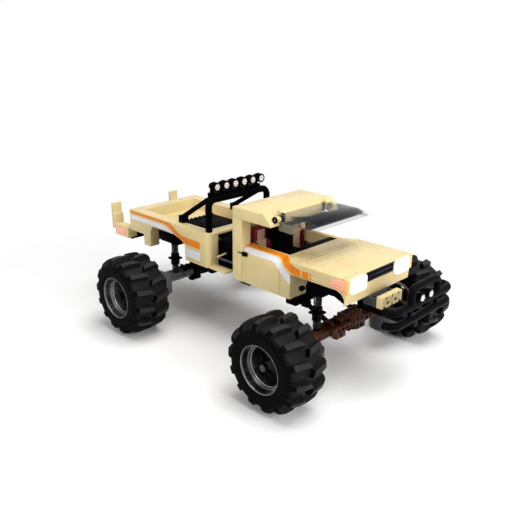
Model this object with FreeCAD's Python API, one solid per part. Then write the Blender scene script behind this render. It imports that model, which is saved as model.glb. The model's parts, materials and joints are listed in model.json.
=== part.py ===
import FreeCAD, Part
import math
import os

# Brick-built toy pick-up crawler with huge tyres.
# Millimetres, +X forward, +Y to the left, +Z up, ground at z = 0.
# While modelling, x = 0 is the middle of the wheelbase. The front pieces
# take their place from the front axle, and the rear ones from the rear axle.

V = FreeCAD.Vector

# ---- driving dimensions -------------------------------------------------
STUD = 8.0            # module of the building bricks
PLATE = 4.0           # thickness of a thin wall or plate
SEAM = 0.4            # gap between a moving piece and its frame
FIT = 0.05            # radial clearance of a pin in its bore
HOLE_R = 2.45         # pin hole of a building brick

WHEELBASE = 272.0
TRACK = 262.0         # distance between tyre centres
TYRE_D = 108.8
TYRE_W = 56.0
RIM_D = 57.0
RIM_W = 52.0
STUB_R = 4.0          # stub axle that carries a wheel
HUB_R = 5.6           # tube of the rim around the stub axle

BODY_W = 128.0
RIDE_H = 40.0         # underside of the body above the axle line
SILL_H = 32.0         # door sill to wheel-arch top
BELT_H = 48.0         # door sill to bonnet and bed rim
CAB_H = 96.0          # door sill to roof
ROOF_T = 14.4
BELT_R = 15.6         # rounding of the door tops

BED_OVER = 96.0       # bed behind the rear axle
BED_AHEAD = 84.0      # bed ahead of the rear axle
BED_RIM = 16.0
BED_CORNER_R = 7.0
POST_BACK = 50.0      # rear posts behind the bed
CAB_BACK = 140.5      # rear wall of the cab behind the front axle
CAB_FRONT = 42.5      # footwell wall behind the front axle
DOOR_FRONT = 59.0     # door hinges behind the front axle
PILLAR_W = 16.2
WING_BACK = 40.0      # where the wings reach full width
NOSE_AHEAD = 40.0
NOSE_LEAN = 2.0       # the nose panel leans back at its foot
ROOF_LEN = 51.5
VISOR_LEN = 10.0
VISOR_Y = 37.0
SCREEN_Y = 47.0
SCREEN_T = 2.0
SCREEN_LEN = 61.3     # raised windscreen ahead of its hinge
SCREEN_DROP = 16.0    # depth of its cheeks below the hinge

RAIL_Y = 26.0         # centre of a chassis rail
RAIL_W = 12.0
RAIL_H = 8.0          # lower rails, under the cab
RAIL_HIGH = 8.0       # raised rails run this far above the underside of the body
SHOCK_IN = 4.0        # shocks and towers stand this far inboard of the axle line
TOWER_SPAN = {"front": (-12.0, 12.0), "rear": (-22.0, 16.0)}     # from the shock, along X
TOWER_LEG = 16.0
TOWER_T = 10.0
SHOCK_Y = 58.0
SHOCK_R = 3.9
DAMPER_R = 6.0
SEAT_W = 15.0         # square spring seat of a shock
LINK_LEN = 48.0
GEAR_Y = 29.0         # outer face of the gear brackets that the half shafts enter
LINK_R = 3.2

BEAM_W = 8.0          # axle beams and their pin holes
BEAM_LEN = 96.0
HOLES_Y = (-36.0, -28.0, -20.0, 20.0, 28.0, 36.0)
SHAFT_R = 3.0
KING_Y = 78.0         # kingpin distance from the centre plane
KING_R = 3.0
DRUM_R = 19.5
DRUM_H = 23.5

HOOP_X = 8.0          # hoop behind the front end of the bed
HOOP_Y = 55.0
HOOP_H = 42.8         # axis of the top tube above the bed rim
HOOP_R = 4.6
HOOP_BEND = 10.0
BRACE_X = 61.0        # brace foot behind the hoop
BRACE_Y = 49.0
BRACE_R = 3.4
LAMP_N = 6
LAMP_PITCH = 16.5
LAMP_R = 6.2
LAMP_DEPTH = 14.0
LAMP_OUT = 3.0        # lamp faces ahead of the axis of the hoop
LAMP_LIFT = 5.6       # clear height between hoop and lamps
BAR_H = 7.2           # lamp bar above the axis of the hoop

BUMP_AHEAD = 97.5     # bumper tubes ahead of the front axle
BUMP_Y = 58.0
BUMP_R = 4.5
BUMP_BEND = 10.0
BUMP_Z = 8.0          # lower tube above the underside of the body
BUMP_GAP = 16.0       # from the lower tube to the upper one
GUARD_Y = 27.0
GUARD_BEND = 8.0
GUARD_R = 4.2
GUARD_H = 20.0        # hoop above the upper tube
SLED_Y = 16.0

# ---- derived positions --------------------------------------------------
HB = BODY_W / 2
AX = WHEELBASE / 2
TYRE_R = TYRE_D / 2
AXLE_Z = TYRE_R
WY = TRACK / 2
RIM_R = RIM_D / 2
BODY_Z = AXLE_Z + RIDE_H
SEAM_Z = BODY_Z + SILL_H
BELT_Z = BODY_Z + BELT_H
ROOF_Z = BODY_Z + CAB_H
ROOF_Z0 = ROOF_Z - ROOF_T
HOOD_Z = BELT_Z - STUD
BED_X0 = -AX - BED_OVER
BED_X1 = -AX + BED_AHEAD
BED_Y = HB - BED_RIM
BED_WELL_X1 = BED_X1 - BED_RIM
BED_REAR_Z = BODY_Z + 2 * STUD
CAB_X0 = AX - CAB_BACK
CAB_X1 = AX - CAB_FRONT
HINGE_X = AX - DOOR_FRONT
PILLAR_X = CAB_X0 + PILLAR_W
WING_X = AX - WING_BACK
NOSE_X = AX + NOSE_AHEAD
ROOF_X1 = CAB_X0 + ROOF_LEN
VISOR_X = ROOF_X1 + VISOR_LEN
HINGE_SX = VISOR_X + PLATE
HINGE_SZ = ROOF_Z - 6.4
SCREEN_X = HINGE_SX + SCREEN_LEN
RAIL_Z0 = BODY_Z - RAIL_H
TOWER_Z = SEAM_Z - PLATE
DRUM_Z1 = AXLE_Z - SHAFT_R - SEAM
HUB_FACE_Y = WY - TYRE_W / 2 - PLATE
HOOP_AT = BED_X1 - HOOP_X
HOOP_Z = BELT_Z + HOOP_H
BUMP_X = AX + BUMP_AHEAD
BUMP_Z1 = BODY_Z + BUMP_Z
BUMP_Z2 = BUMP_Z1 + BUMP_GAP
GUARD_Z = BUMP_Z2 + GUARD_H
SLED_Z = BUMP_Z1 - BUMP_R + 1.5
REAR_X = BED_X0 - POST_BACK
FRONT_TIP = BUMP_X + BUMP_R
MID_SHIFT = -(FRONT_TIP + REAR_X) / 2
SIDES = (("right", -1), ("left", 1))
ENDS = (("front", 1), ("rear", -1))

nodes = {}


def box(x0, x1, y0, y1, z0, z1):
    ya, yb = min(y0, y1), max(y0, y1)
    return Part.makeBox(x1 - x0, yb - ya, z1 - z0, V(x0, ya, z0))


def rod(p, q, r):
    d = V(*q) - V(*p)
    return Part.makeCylinder(r, d.Length, V(*p), d)


def prism(points, axis, a, b):
    # polygon in the plane across `axis`, pushed from a to b along it
    place = {"x": lambda u, w: V(a, u, w),
             "y": lambda u, w: V(u, a, w),
             "z": lambda u, w: V(u, w, a)}[axis]
    step = {"x": V(b - a, 0, 0), "y": V(0, b - a, 0), "z": V(0, 0, b - a)}[axis]
    wire = Part.makePolygon([place(u, w) for u, w in points + [points[0]]])
    return Part.Face(wire).extrude(step)


def join(parts):
    return parts[0].multiFuse(parts[1:]).removeSplitter()


def rounded(shape, r, axis):
    # fillets the edges that run along one axis
    edges = [e for e in shape.Edges if abs(getattr(e.tangentAt(e.FirstParameter), axis)) > 0.9]
    return shape.makeFillet(r, edges)


def arc_points(cx, cz, r, a0, a1, n):
    out = []
    for i in range(n + 1):
        t = math.radians(a0 + (a1 - a0) * i / n)
        out.append((cx + r * math.cos(t), cz + r * math.sin(t)))
    return out


def bent_tube(points, r, bend):
    # round tube: straight runs joined by tangent elbows
    pts = [V(*p) for p in points]
    runs = []
    start = pts[0]
    for a, b, c in zip(pts, pts[1:], pts[2:]):
        u, w = (a - b).normalize(), (c - b).normalize()
        half = u.getAngle(w) / 2
        back = bend / math.tan(half)
        centre = b + (u + w).normalize() * (bend / math.sin(half))
        runs.append(Part.makeCylinder(r, (b + u * back - start).Length, start, u * -1))
        ring = Part.Face(Part.Wire(Part.makeCircle(r, b + u * back, u)))
        runs.append(ring.revolve(centre, w.cross(u), 180 - math.degrees(2 * half)))
        start = b + w * back
    runs.append(Part.makeCylinder(r, (pts[-1] - start).Length, start, pts[-1] - start))
    return join(runs)


def turned(profile, centre, axis):
    # closed profile of (radius, distance along the axis), spun about that axis
    out = V(1, 0, 0) if abs(axis.x) < 0.5 else V(0, 0, 1)
    pts = [centre + out * r + axis * d for r, d in profile]
    face = Part.Face(Part.makePolygon(pts + [pts[0]]))
    return face.revolve(centre, axis, 360)


# ---- chassis ------------------------------------------------------------
# Low rails under the cab, raised rails under the bed and the bonnet, a sled
# that carries the winch and bumper, and a portal over each axle for the shocks.
rail_x0 = BED_X0 + PLATE
high_z0, high_z1 = BODY_Z + RAIL_HIGH, BODY_Z + 3 * STUD
step_x = -AX + 36.0
hang_z = BODY_Z - 14.0
sled_x0 = NOSE_X - STUD
frame = []
for name, s in SIDES:
    y0, y1 = s * (RAIL_Y - RAIL_W / 2), s * (RAIL_Y + RAIL_W / 2)
    frame.append(box(step_x, CAB_X1 + 3, y0, y1, RAIL_Z0, BODY_Z))
    frame.append(box(rail_x0, step_x + 3 * STUD, y0, y1, high_z0, high_z1))
    frame.append(box(step_x, step_x + 3 * STUD, y0, y1, hang_z, high_z0 + 1))
    frame.append(box(CAB_X1, CAB_X1 + 3, y0, y1, RAIL_Z0, high_z1))
    frame.append(box(CAB_X1, NOSE_X - STUD - 6, y0, y1, high_z0, high_z1))
    frame.append(box(sled_x0 - STUD, sled_x0, y0, s * (SLED_Y - PLATE), SLED_Z - STUD, high_z1))
for end, k in ENDS:
    x, (back, ahead) = k * (AX - SHOCK_IN), TOWER_SPAN[end]
    frame.append(box(x + back, x + ahead, -SHOCK_Y - STUD, SHOCK_Y + STUD, TOWER_Z - TOWER_T, TOWER_Z))
cross_members = [
    # x0, x1, half width, z0, z1
    (-AX - 62.0, -AX - 46.0, BED_Y, high_z0, high_z0 + STUD),
    (BED_X1 - 24.0, BED_X1 - 8.0, HB - 2, RAIL_Z0, BODY_Z),
    (CAB_X0 + 4.0, CAB_X0 + 20.0, HB - 10, RAIL_Z0, BODY_Z),
    (CAB_X1 - 18.0, CAB_X1 - 2.0, HB - 14, hang_z, BODY_Z),
    (sled_x0 - STUD, sled_x0, SLED_Y + PLATE, SLED_Z - STUD, BODY_Z + STUD),
]
for x0, x1, hw, z0, z1 in cross_members:
    frame.append(box(x0, x1, -hw, hw, z0, z1))
frame.append(box(AX - TOWER_LEG / 2, AX + TOWER_LEG / 2, -RAIL_Y, RAIL_Y, TOWER_Z - TOWER_T, HOOD_Z))
chassis = join(frame)
for x, z0, z1 in ((-AX - 54.0, high_z0, high_z0 + STUD), (CAB_X0 + 12.0, RAIL_Z0, BODY_Z)):
    for y in (-44.0, 44.0):
        chassis = chassis.cut(rod((x, y, z0 - 1), (x, y, z1 + 1), HOLE_R))
nodes["chassis"] = chassis

# one plain block between cab and bed, and its lid that lies in the bed
battery_y = 3.5 * STUD
gap_block = box(BED_X1 + SEAM, CAB_X0 - 4, -44, 44, BODY_Z, SEAM_Z + 5.6)
lid = box(BED_WELL_X1 - 10 * STUD, BED_WELL_X1, -battery_y, battery_y, SEAM_Z, SEAM_Z + STUD)
bridge = box(BED_WELL_X1 - 1, BED_X1 + 1, -battery_y, battery_y, SEAM_Z, SEAM_Z + 5.6)
nodes["battery_box"] = join([gap_block, lid, bridge])

# ---- load bed -----------------------------------------------------------
well = box(BED_X0 + BED_RIM, BED_WELL_X1, -BED_Y, BED_Y, SEAM_Z - 1, BELT_Z + 1)
bed_parts = [box(BED_X0, BED_X1, -HB, HB, SEAM_Z, BELT_Z).cut(well)]
bed_parts.append(box(BED_X0, BED_X1, -BED_Y - PLATE, BED_Y + PLATE, SEAM_Z - PLATE, SEAM_Z))
bed_parts.append(box(BED_X0, BED_X0 + PLATE, -HB, HB, BED_REAR_Z, SEAM_Z))
arch_r = 20.0
arch_x0 = -AX - 46.0
rear_skirt = [(BED_X0, SEAM_Z), (BED_X0, BED_REAR_Z), (arch_x0 - STUD * 2, BED_REAR_Z), (arch_x0 - STUD * 2, BODY_Z), (arch_x0, BODY_Z)]
rear_skirt += arc_points(arch_x0 + arch_r, SEAM_Z - 14.4, arch_r, 180, 134, 6)
rear_skirt[-1] = (arch_x0 + 6.0, SEAM_Z)
front_skirt = [(-AX + 11, SEAM_Z), (-AX + 24, SEAM_Z - 4.4), (-AX + 34, SEAM_Z - 8.8), (-AX + 35, BODY_Z), (BED_X1, BODY_Z),
               (BED_X1, SEAM_Z)]
for name, s in SIDES:
    bed_parts.append(prism(rear_skirt, "y", s * (HB - PLATE), s * HB))
    bed_parts.append(box(arch_x0 - STUD * 2, arch_x0, s * BED_Y, s * HB, BODY_Z, SEAM_Z))
    bed_parts.append(prism(front_skirt, "y", s * (HB - 2 * PLATE), s * HB))
    bed_parts.append(box(BED_X1 - STUD, BED_X1, s * (BED_Y - 2), s * HB, BODY_Z, SEAM_Z))
bed = join(bed_parts)
bed = bed.cut(box(BED_WELL_X1 - 1, BED_X1 + 1, -BED_Y + 2, BED_Y - 2, SEAM_Z - PLATE - 1, BELT_Z - PLATE))
corners = [e for e in bed.Edges if abs(e.tangentAt(e.FirstParameter).z) > 0.9
           and abs(abs(e.CenterOfMass.y) - HB) < 0.01 and abs(e.CenterOfMass.x - BED_X1) < 0.01]
nodes["bed"] = bed.makeFillet(BED_CORNER_R, corners)

# ---- roll bar and lamp bar ----------------------------------------------
foot_x = HOOP_AT - BRACE_X
foot_h = 10.0
hoop = bent_tube([(HOOP_AT, -HOOP_Y, BELT_Z), (HOOP_AT, -HOOP_Y, HOOP_Z), (HOOP_AT, HOOP_Y, HOOP_Z), (HOOP_AT, HOOP_Y, BELT_Z)], HOOP_R, HOOP_BEND)
bars = [hoop]
for name, s in SIDES:
    bars.append(rod((HOOP_AT - HOOP_R, s * (HOOP_Y - 3), HOOP_Z), (foot_x, s * BRACE_Y, BELT_Z + foot_h - 2), BRACE_R))
    bars.append(box(foot_x - 5, foot_x + 5, s * (BRACE_Y - 5), s * (BRACE_Y + 5), BELT_Z, BELT_Z + foot_h))
nodes["roll_bar"] = join(bars)

lamp_x = HOOP_AT - HOOP_R - PLATE
lamp_z = HOOP_Z + HOOP_R + LAMP_R + LAMP_LIFT
bar_len = LAMP_PITCH * LAMP_N - STUD
lamp_bar = [box(lamp_x - PLATE, HOOP_AT - HOOP_R + 1.5, -bar_len / 2, bar_len / 2, HOOP_Z - PLATE, HOOP_Z + BAR_H)]
lamp_in = LAMP_DEPTH * 0.4
cup = [(0, 0), (LAMP_R * 0.6, 0), (LAMP_R, lamp_in), (LAMP_R, LAMP_DEPTH), (0, LAMP_DEPTH)]
for i in range(LAMP_N):
    y = (i - (LAMP_N - 1) / 2) * LAMP_PITCH
    lamp_bar.append(turned(cup, V(HOOP_AT + LAMP_OUT - LAMP_DEPTH, y, lamp_z), V(1, 0, 0)))
    lamp_bar.append(box(lamp_x - 2, lamp_x + 2, y - 2, y + 2, HOOP_Z + BAR_H - 1, lamp_z - LAMP_R + 1.5))
nodes["lamp_bar"] = join(lamp_bar).cut(nodes["roll_bar"])


# ---- cab ----------------------------------------------------------------
def side_section(x, r, s):
    # outer body side between the panel joint and the belt, top edge rounded by r
    yi = HB - BELT_R - 2.4
    c = V(x, s * (HB - r), BELT_Z - r)
    mid = c + V(0, s * r * math.sin(math.pi / 4), r * math.sin(math.pi / 4))
    a, b = V(x, s * HB, BELT_Z - r), V(x, s * (HB - r), BELT_Z)
    p1, p2, p5 = V(x, s * yi, SEAM_Z), V(x, s * HB, SEAM_Z), V(x, s * yi, BELT_Z)
    return Part.Wire([Part.LineSegment(p1, p2).toShape(), Part.LineSegment(p2, a).toShape(),
                      Part.Arc(a, mid, b).toShape(), Part.LineSegment(b, p5).toShape(),
                      Part.LineSegment(p5, p1).toShape()])


door_t = 2 * PLATE
floor_hw = HB - door_t - 1
cab = [box(CAB_X0, CAB_X1, -floor_hw, floor_hw, BODY_Z, BODY_Z + PLATE),
       box(CAB_X0, CAB_X0 + STUD, -HB, HB, BODY_Z, ROOF_Z0),
       box(CAB_X1 - STUD, CAB_X1, -HB, HB, BODY_Z, HOOD_Z)]
for name, s in SIDES:
    cab.append(box(CAB_X0, PILLAR_X, s * BED_Y, s * HB, BODY_Z, ROOF_Z0))
    cab.append(box(HINGE_X + SEAM, CAB_X1, s * (HB - door_t), s * HB, BODY_Z, SEAM_Z))
    cab.append(Part.makeLoft([side_section(HINGE_X + SEAM, BELT_R, s), side_section(WING_X, 1.0, s)], True, True))
nodes["cab"] = join(cab)

# ---- doors --------------------------------------------------------------
for name, s in SIDES:
    lower = box(PILLAR_X, HINGE_X, s * (HB - door_t), s * HB, BODY_Z, SEAM_Z)
    upper = Part.Face(side_section(PILLAR_X, BELT_R, s)).extrude(V(HINGE_X - PILLAR_X, 0, 0))
    reach = Part.makeCylinder(HINGE_X - PILLAR_X - SEAM, BELT_Z, V(HINGE_X, s * HB, 0))
    nodes["door_" + name] = join([lower, upper]).common(reach)
    grip = [(PILLAR_X + 1, s * HB), (PILLAR_X + 11, s * HB), (PILLAR_X + 9, s * (HB + 2.6)), (PILLAR_X + 3, s * (HB + 2.6))]
    nodes["door_handle_" + name] = prism(grip, "z", SEAM_Z + 4, SEAM_Z + 9).cut(nodes["door_" + name])

# ---- roof, visor and windscreen -----------------------------------------
nodes["roof"] = box(CAB_X0, ROOF_X1 - 3, -HB, HB, ROOF_Z0, ROOF_Z)
lug_y = SCREEN_Y + 1.5
brow = [(ROOF_X1 - 3, ROOF_Z0), (ROOF_X1 - 3, ROOF_Z), (ROOF_X1, ROOF_Z), (VISOR_X, ROOF_Z - 2),
        (VISOR_X, ROOF_Z0 - 2.4), (VISOR_X - PLATE, ROOF_Z0 - 2.4), (VISOR_X - PLATE, ROOF_Z0)]
cheek_line = [(ROOF_X1 - 3, ROOF_Z0), (ROOF_X1 - 3, ROOF_Z), (ROOF_X1 + 2.7, ROOF_Z), (VISOR_X + 4.5, ROOF_Z0 + 2.4), (VISOR_X + 4.5, ROOF_Z0)]
bridge_line = [(ROOF_X1 - 3, ROOF_Z0), (ROOF_X1 - 3, ROOF_Z), (ROOF_X1 + 1, ROOF_Z), (VISOR_X - 5, ROOF_Z0 + 6), (VISOR_X - 5, ROOF_Z0)]
visor = [prism(brow, "y", -VISOR_Y, VISOR_Y)]
for name, s in SIDES:
    visor.append(prism(cheek_line, "y", s * lug_y, s * HB))
    visor.append(prism(bridge_line, "y", s * VISOR_Y, s * lug_y))
    visor.append(rod((HINGE_SX, s * lug_y, HINGE_SZ), (HINGE_SX, s * (lug_y + 6.5), HINGE_SZ), 3.6))
pin_hole = rod((HINGE_SX, -lug_y - 7, HINGE_SZ), (HINGE_SX, lug_y + 7, HINGE_SZ), 1.5 + FIT)
nodes["visor"] = join(visor).cut(pin_hole)

# clear raised screen: a top plate that bends down at its front, and two cheeks
crown = HINGE_SZ + 5
bend_x = SCREEN_X - 16
pane = [(HINGE_SX - 1, crown - SCREEN_T), (HINGE_SX - 1, crown), (bend_x, crown), (SCREEN_X, crown - 5),
        (SCREEN_X, crown - 5 - SCREEN_T), (bend_x, crown - SCREEN_T)]
cheek = [(HINGE_SX, crown - 1), (bend_x, crown - 1), (SCREEN_X, crown - 6), (SCREEN_X, crown - 7.5),
         (SCREEN_X - 24, crown - 9), (SCREEN_X - 43, HINGE_SZ - SCREEN_DROP), (HINGE_SX - 2, HINGE_SZ - SCREEN_DROP + 1),
         (HINGE_SX - 2, ROOF_Z0 - 1)]
screen = [prism(pane, "y", -SCREEN_Y, SCREEN_Y)]
for name, s in SIDES:
    inner = s * (SCREEN_Y - SCREEN_T)
    screen.append(prism(cheek, "y", inner, s * SCREEN_Y))
    screen.append(rod((HINGE_SX, inner, HINGE_SZ), (HINGE_SX, s * SCREEN_Y, HINGE_SZ), 3.0))
    screen.append(rod((HINGE_SX, s * (SCREEN_Y - 1), HINGE_SZ), (HINGE_SX, s * (lug_y + 6), HINGE_SZ), 1.5))
nodes["windscreen"] = join(screen)
lip_x = bend_x - STUD
nodes["windscreen_lip"] = box(lip_x, bend_x - SEAM, -SCREEN_Y + SCREEN_T, SCREEN_Y - SCREEN_T, crown - SCREEN_T - STUD, crown - SCREEN_T)

# ---- bonnet, wings and nose ---------------------------------------------
loft_y = HB - BELT_R - 2.4
grille_y = GUARD_Y + 1
hood = prism([(HINGE_X, -loft_y), (WING_X, -loft_y), (WING_X, -HB), (NOSE_X - STUD, -HB), (NOSE_X - STUD, -grille_y), (NOSE_X, -grille_y),
              (NOSE_X, grille_y), (NOSE_X - STUD, grille_y), (NOSE_X - STUD, HB), (WING_X, HB), (WING_X, loft_y), (HINGE_X, loft_y)],
             "z", HOOD_Z, BELT_Z)
nodes["hood"] = hood.cut(box(NOSE_X - STUD - 6, NOSE_X + 1, -grille_y, grille_y, HOOD_Z - 1, BELT_Z - 1.2))
nose_z = BODY_Z + 2 * STUD
for name, s in SIDES:
    wing = [(WING_X, HOOD_Z), (WING_X, SEAM_Z), (NOSE_X - 16, SEAM_Z)]
    wing += arc_points(NOSE_X - 16, SEAM_Z - 14.0, 14.0, 90, 55, 3)[1:]
    wing += [(NOSE_X - STUD, HOOD_Z)]
    nodes["wing_" + name] = prism(wing, "y", s * (HB - STUD), s * HB)
face_line = [(NOSE_X - STUD, BELT_Z), (NOSE_X, BELT_Z), (NOSE_X - NOSE_LEAN, nose_z), (NOSE_X - NOSE_LEAN - 1.5, nose_z)]
face_line += arc_points(NOSE_X - 16, SEAM_Z - 14.0, 14.0, 20, 55, 3)
nose = prism(face_line, "y", -HB, HB)
nose = nose.cut(box(NOSE_X - STUD - 1, NOSE_X + 1, -grille_y, grille_y, SEAM_Z + 2, BELT_Z + 1))
for name, s in SIDES:
    lamp = rounded(box(NOSE_X - 5, NOSE_X + 2.4, s * 29.5, s * 58, SEAM_Z - 3, BELT_Z - 1), 4.0, "x")
    flash = box(NOSE_X - 5, NOSE_X + 1.5, s * 59.6, s * HB, SEAM_Z - 2, BELT_Z - 1.5)
    nose = nose.cut(lamp).cut(flash)
    nodes["headlight_" + name] = lamp
    nodes["indicator_" + name] = flash
    marker = box(NOSE_X - 22, NOSE_X - 3.5, s * HB, s * (HB + 1), SEAM_Z + 1, SEAM_Z + 13.5)
    nodes["marker_lamp_" + name] = rounded(marker, 5.0, "y")
nodes["nose_panel"] = nose
slats = [box(NOSE_X - STUD - 6, NOSE_X - STUD - 4, -grille_y, grille_y, SEAM_Z - 6, BELT_Z - 1.2)]
for i in range(3):
    z = SEAM_Z - 4 + 5 * i
    slats.append(box(NOSE_X - STUD - 4, NOSE_X - STUD - 0.5, -grille_y, grille_y, z, z + 1.8))
nodes["grille"] = join(slats)

# ---- interior -----------------------------------------------------------
floor_z = BODY_Z + PLATE
seat_y = HB - 31.0
dash_y = HB - BELT_R - 3.4
dash = [(HINGE_X - 15, SEAM_Z), (HINGE_X - 15, BELT_Z - 5), (HINGE_X - 11, BELT_Z), (HINGE_X, BELT_Z), (HINGE_X, SEAM_Z)]
cab_in = CAB_X0 + STUD
nodes["interior"] = join([prism(dash, "y", -dash_y, dash_y),
                          box(cab_in, HINGE_X - 4, -13, 13, floor_z, SEAM_Z + 2),
                          box(cab_in, CAB_X0 + 28.5, -seat_y + 14, seat_y - 14, SEAM_Z, BELT_Z + 15.6)])
for name, s in SIDES:
    def across(k):
        return s * (seat_y + k)
    cushion = box(cab_in + 8, cab_in + 42, across(-13), across(13), floor_z, floor_z + 20)
    back = box(cab_in + 4, cab_in + 13, across(-13), across(13), floor_z + 20, SEAM_Z + 18)
    head = rounded(box(cab_in + 5, cab_in + 12, across(-10), across(10), SEAM_Z + 18, SEAM_Z + 35), 3.0, "x")
    seat = [cushion, back, head]
    for k in (-13, 9):
        seat.append(box(cab_in + 13, cab_in + 17, across(k), across(k + 4), floor_z + 20, SEAM_Z + 16))
    nodes["seat_" + name] = join(seat)


# ---- axles, knuckles and wheels -----------------------------------------
def axle(x, drilled):
    # two beams, a gearbox that hangs through them and spring pads;
    # only the outer beam of the front axle has a row of pin holes
    z0 = AXLE_Z + 4
    body = [prism([(x - 8, AXLE_Z - 2), (x + 8, AXLE_Z - 2), (x + 12.8, AXLE_Z + 2), (x + 12.8, AXLE_Z + 14),
                   (x + 8, AXLE_Z + 18), (x - 8, AXLE_Z + 18)], "y", -12, 12)]
    for k in (-1, 1):
        beam = box(x + k * STUD - BEAM_W / 2, x + k * STUD + BEAM_W / 2, -BEAM_LEN / 2, BEAM_LEN / 2, z0, z0 + BEAM_W)
        if k == drilled:
            for y in HOLES_Y:
                hole = rod((x, y, z0 + BEAM_W / 2), (x + k * 2 * STUD, y, z0 + BEAM_W / 2), HOLE_R)
                beam = beam.cut(hole)
        body.append(beam)
    for s in (-1, 1):
        body.append(box(x - 12, x + 12, s * (BEAM_LEN / 2 - STUD), s * (BEAM_LEN / 2), z0, z0 + BEAM_W))
        body.append(box(x - 8, x + 8, s * (BEAM_LEN / 2), s * (SHOCK_Y + STUD), z0, z0 + BEAM_W))
        body.append(box(x - 4, x + 4, s * 11, s * GEAR_Y, AXLE_Z - 9.4, z0 + 1))
    return body


front = axle(AX, 1)
for s in (-1, 1):
    front.append(box(AX - 7, AX + 7, s * (SHOCK_Y + STUD), s * KING_Y, AXLE_Z + 4, AXLE_Z + 12))
    front.append(rod((AX, s * KING_Y, AXLE_Z - 2), (AX, s * KING_Y, AXLE_Z + 12), 7.0))
    front.append(rod((AX, s * KING_Y, AXLE_Z - 24), (AX, s * KING_Y, AXLE_Z), KING_R))
nodes["front_axle"] = join(front)
rear = axle(-AX, 0)
for s in (-1, 1):
    rear.append(box(-AX - 7, -AX + 7, s * (SHOCK_Y + STUD), s * KING_Y, AXLE_Z + 4, AXLE_Z + 12))
    rear.append(rounded(box(-AX - 15, -AX + 15, s * (KING_Y - 4), s * HUB_FACE_Y, AXLE_Z - 15, AXLE_Z + 15), 6.0, "y"))
    rear.append(rod((-AX, s * KING_Y, AXLE_Z), (-AX, s * (WY + 22), AXLE_Z), STUB_R))
nodes["rear_axle"] = join(rear)

for end, k in ENDS:
    reach = KING_Y - 7 if k > 0 else KING_Y - 4
    for name, s in SIDES:
        shaft = rod((k * AX, s * GEAR_Y, AXLE_Z), (k * AX, s * reach, AXLE_Z), SHAFT_R)
        nodes["shaft_%s_%s" % (end, name)] = shaft.cut(nodes[end + "_axle"])

for name, s in SIDES:
    drum = Part.makeCylinder(DRUM_R, DRUM_H, V(AX, s * KING_Y, DRUM_Z1 - DRUM_H))
    slab = box(AX - DRUM_R, AX + DRUM_R, s * KING_Y, s * HUB_FACE_Y, DRUM_Z1 - DRUM_H, DRUM_Z1)
    wall = box(AX - 12, AX + 12, s * (KING_Y + 9), s * HUB_FACE_Y, DRUM_Z1 - 4, AXLE_Z + 10)
    stub = rod((AX, s * (KING_Y + 10), AXLE_Z), (AX, s * (WY + 22), AXLE_Z), STUB_R)
    knuckle = join([drum, slab, wall, stub])
    nodes["knuckle_" + name] = knuckle.cut(rod((AX, s * KING_Y, AXLE_Z - 25), (AX, s * KING_Y, AXLE_Z), KING_R + FIT))

w = TYRE_W / 2
tread = [(RIM_R, -w + 2), (RIM_R + 5, -w), (TYRE_R - 9, -w + 1), (TYRE_R, -w + 12),
         (TYRE_R, w - 12), (TYRE_R - 9, w - 1), (RIM_R + 5, w), (RIM_R, w - 2)]
h = RIM_W / 2
bore = STUB_R + FIT
back = HUB_FACE_Y + 0.3 - WY
# deep dish: barrel, a step half way in, a thin web and a tube around the axle
dish = [(bore, back), (9, back), (9, -2), (RIM_R - 4, -2), (RIM_R - 4, -h), (RIM_R, -h), (RIM_R, h),
        (RIM_R - 2.3, h), (RIM_R - 2.3, h - 10), (RIM_R - 6, h - 10), (RIM_R - 6, 2), (HUB_R, 2), (HUB_R, h - 6), (bore, h - 6)]
for end, k in ENDS:
    for name, s in SIDES:
        centre = V(k * AX, s * WY, AXLE_Z)
        out = V(0, s, 0)
        nodes["tyre_%s_%s" % (end, name)] = turned(tread, centre, out)
        nodes["rim_%s_%s" % (end, name)] = turned(dish, centre, out)

# ---- shocks and links ---------------------------------------------------
lo, hi = AXLE_Z + 12, TOWER_Z - TOWER_T
quarter = (hi - lo) / 4
outline = [(0, 0), (SHOCK_R, 0), (SHOCK_R, quarter), (DAMPER_R, quarter), (DAMPER_R, quarter * 2.6),
           (SHOCK_R, quarter * 2.6), (SHOCK_R, hi - lo), (0, hi - lo)]
for end, k in ENDS:
    for name, s in SIDES:
        x, y = k * (AX - SHOCK_IN), s * SHOCK_Y
        strut = turned(outline, V(x, y, lo), V(0, 0, 1))
        z = lo + quarter * 1.8
        seat = box(x - SEAT_W / 2, x + SEAT_W / 2, y - SEAT_W / 2, y + SEAT_W / 2, z, z + 2.5)
        nodes["shock_%s_%s" % (end, name)] = join([strut, seat])
        a = (k * (AX - LINK_LEN), s * RAIL_Y, hang_z - 4)
        b = (k * (AX - 12), s * RAIL_Y, AXLE_Z + 8)
        eye = box(a[0] - 5, a[0] + 5, s * (RAIL_Y - 4), s * (RAIL_Y + 4), hang_z - STUD, hang_z)
        nodes["link_%s_%s" % (end, name)] = join([rod(a, b, LINK_R), eye]).cut(nodes[end + "_axle"])

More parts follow.
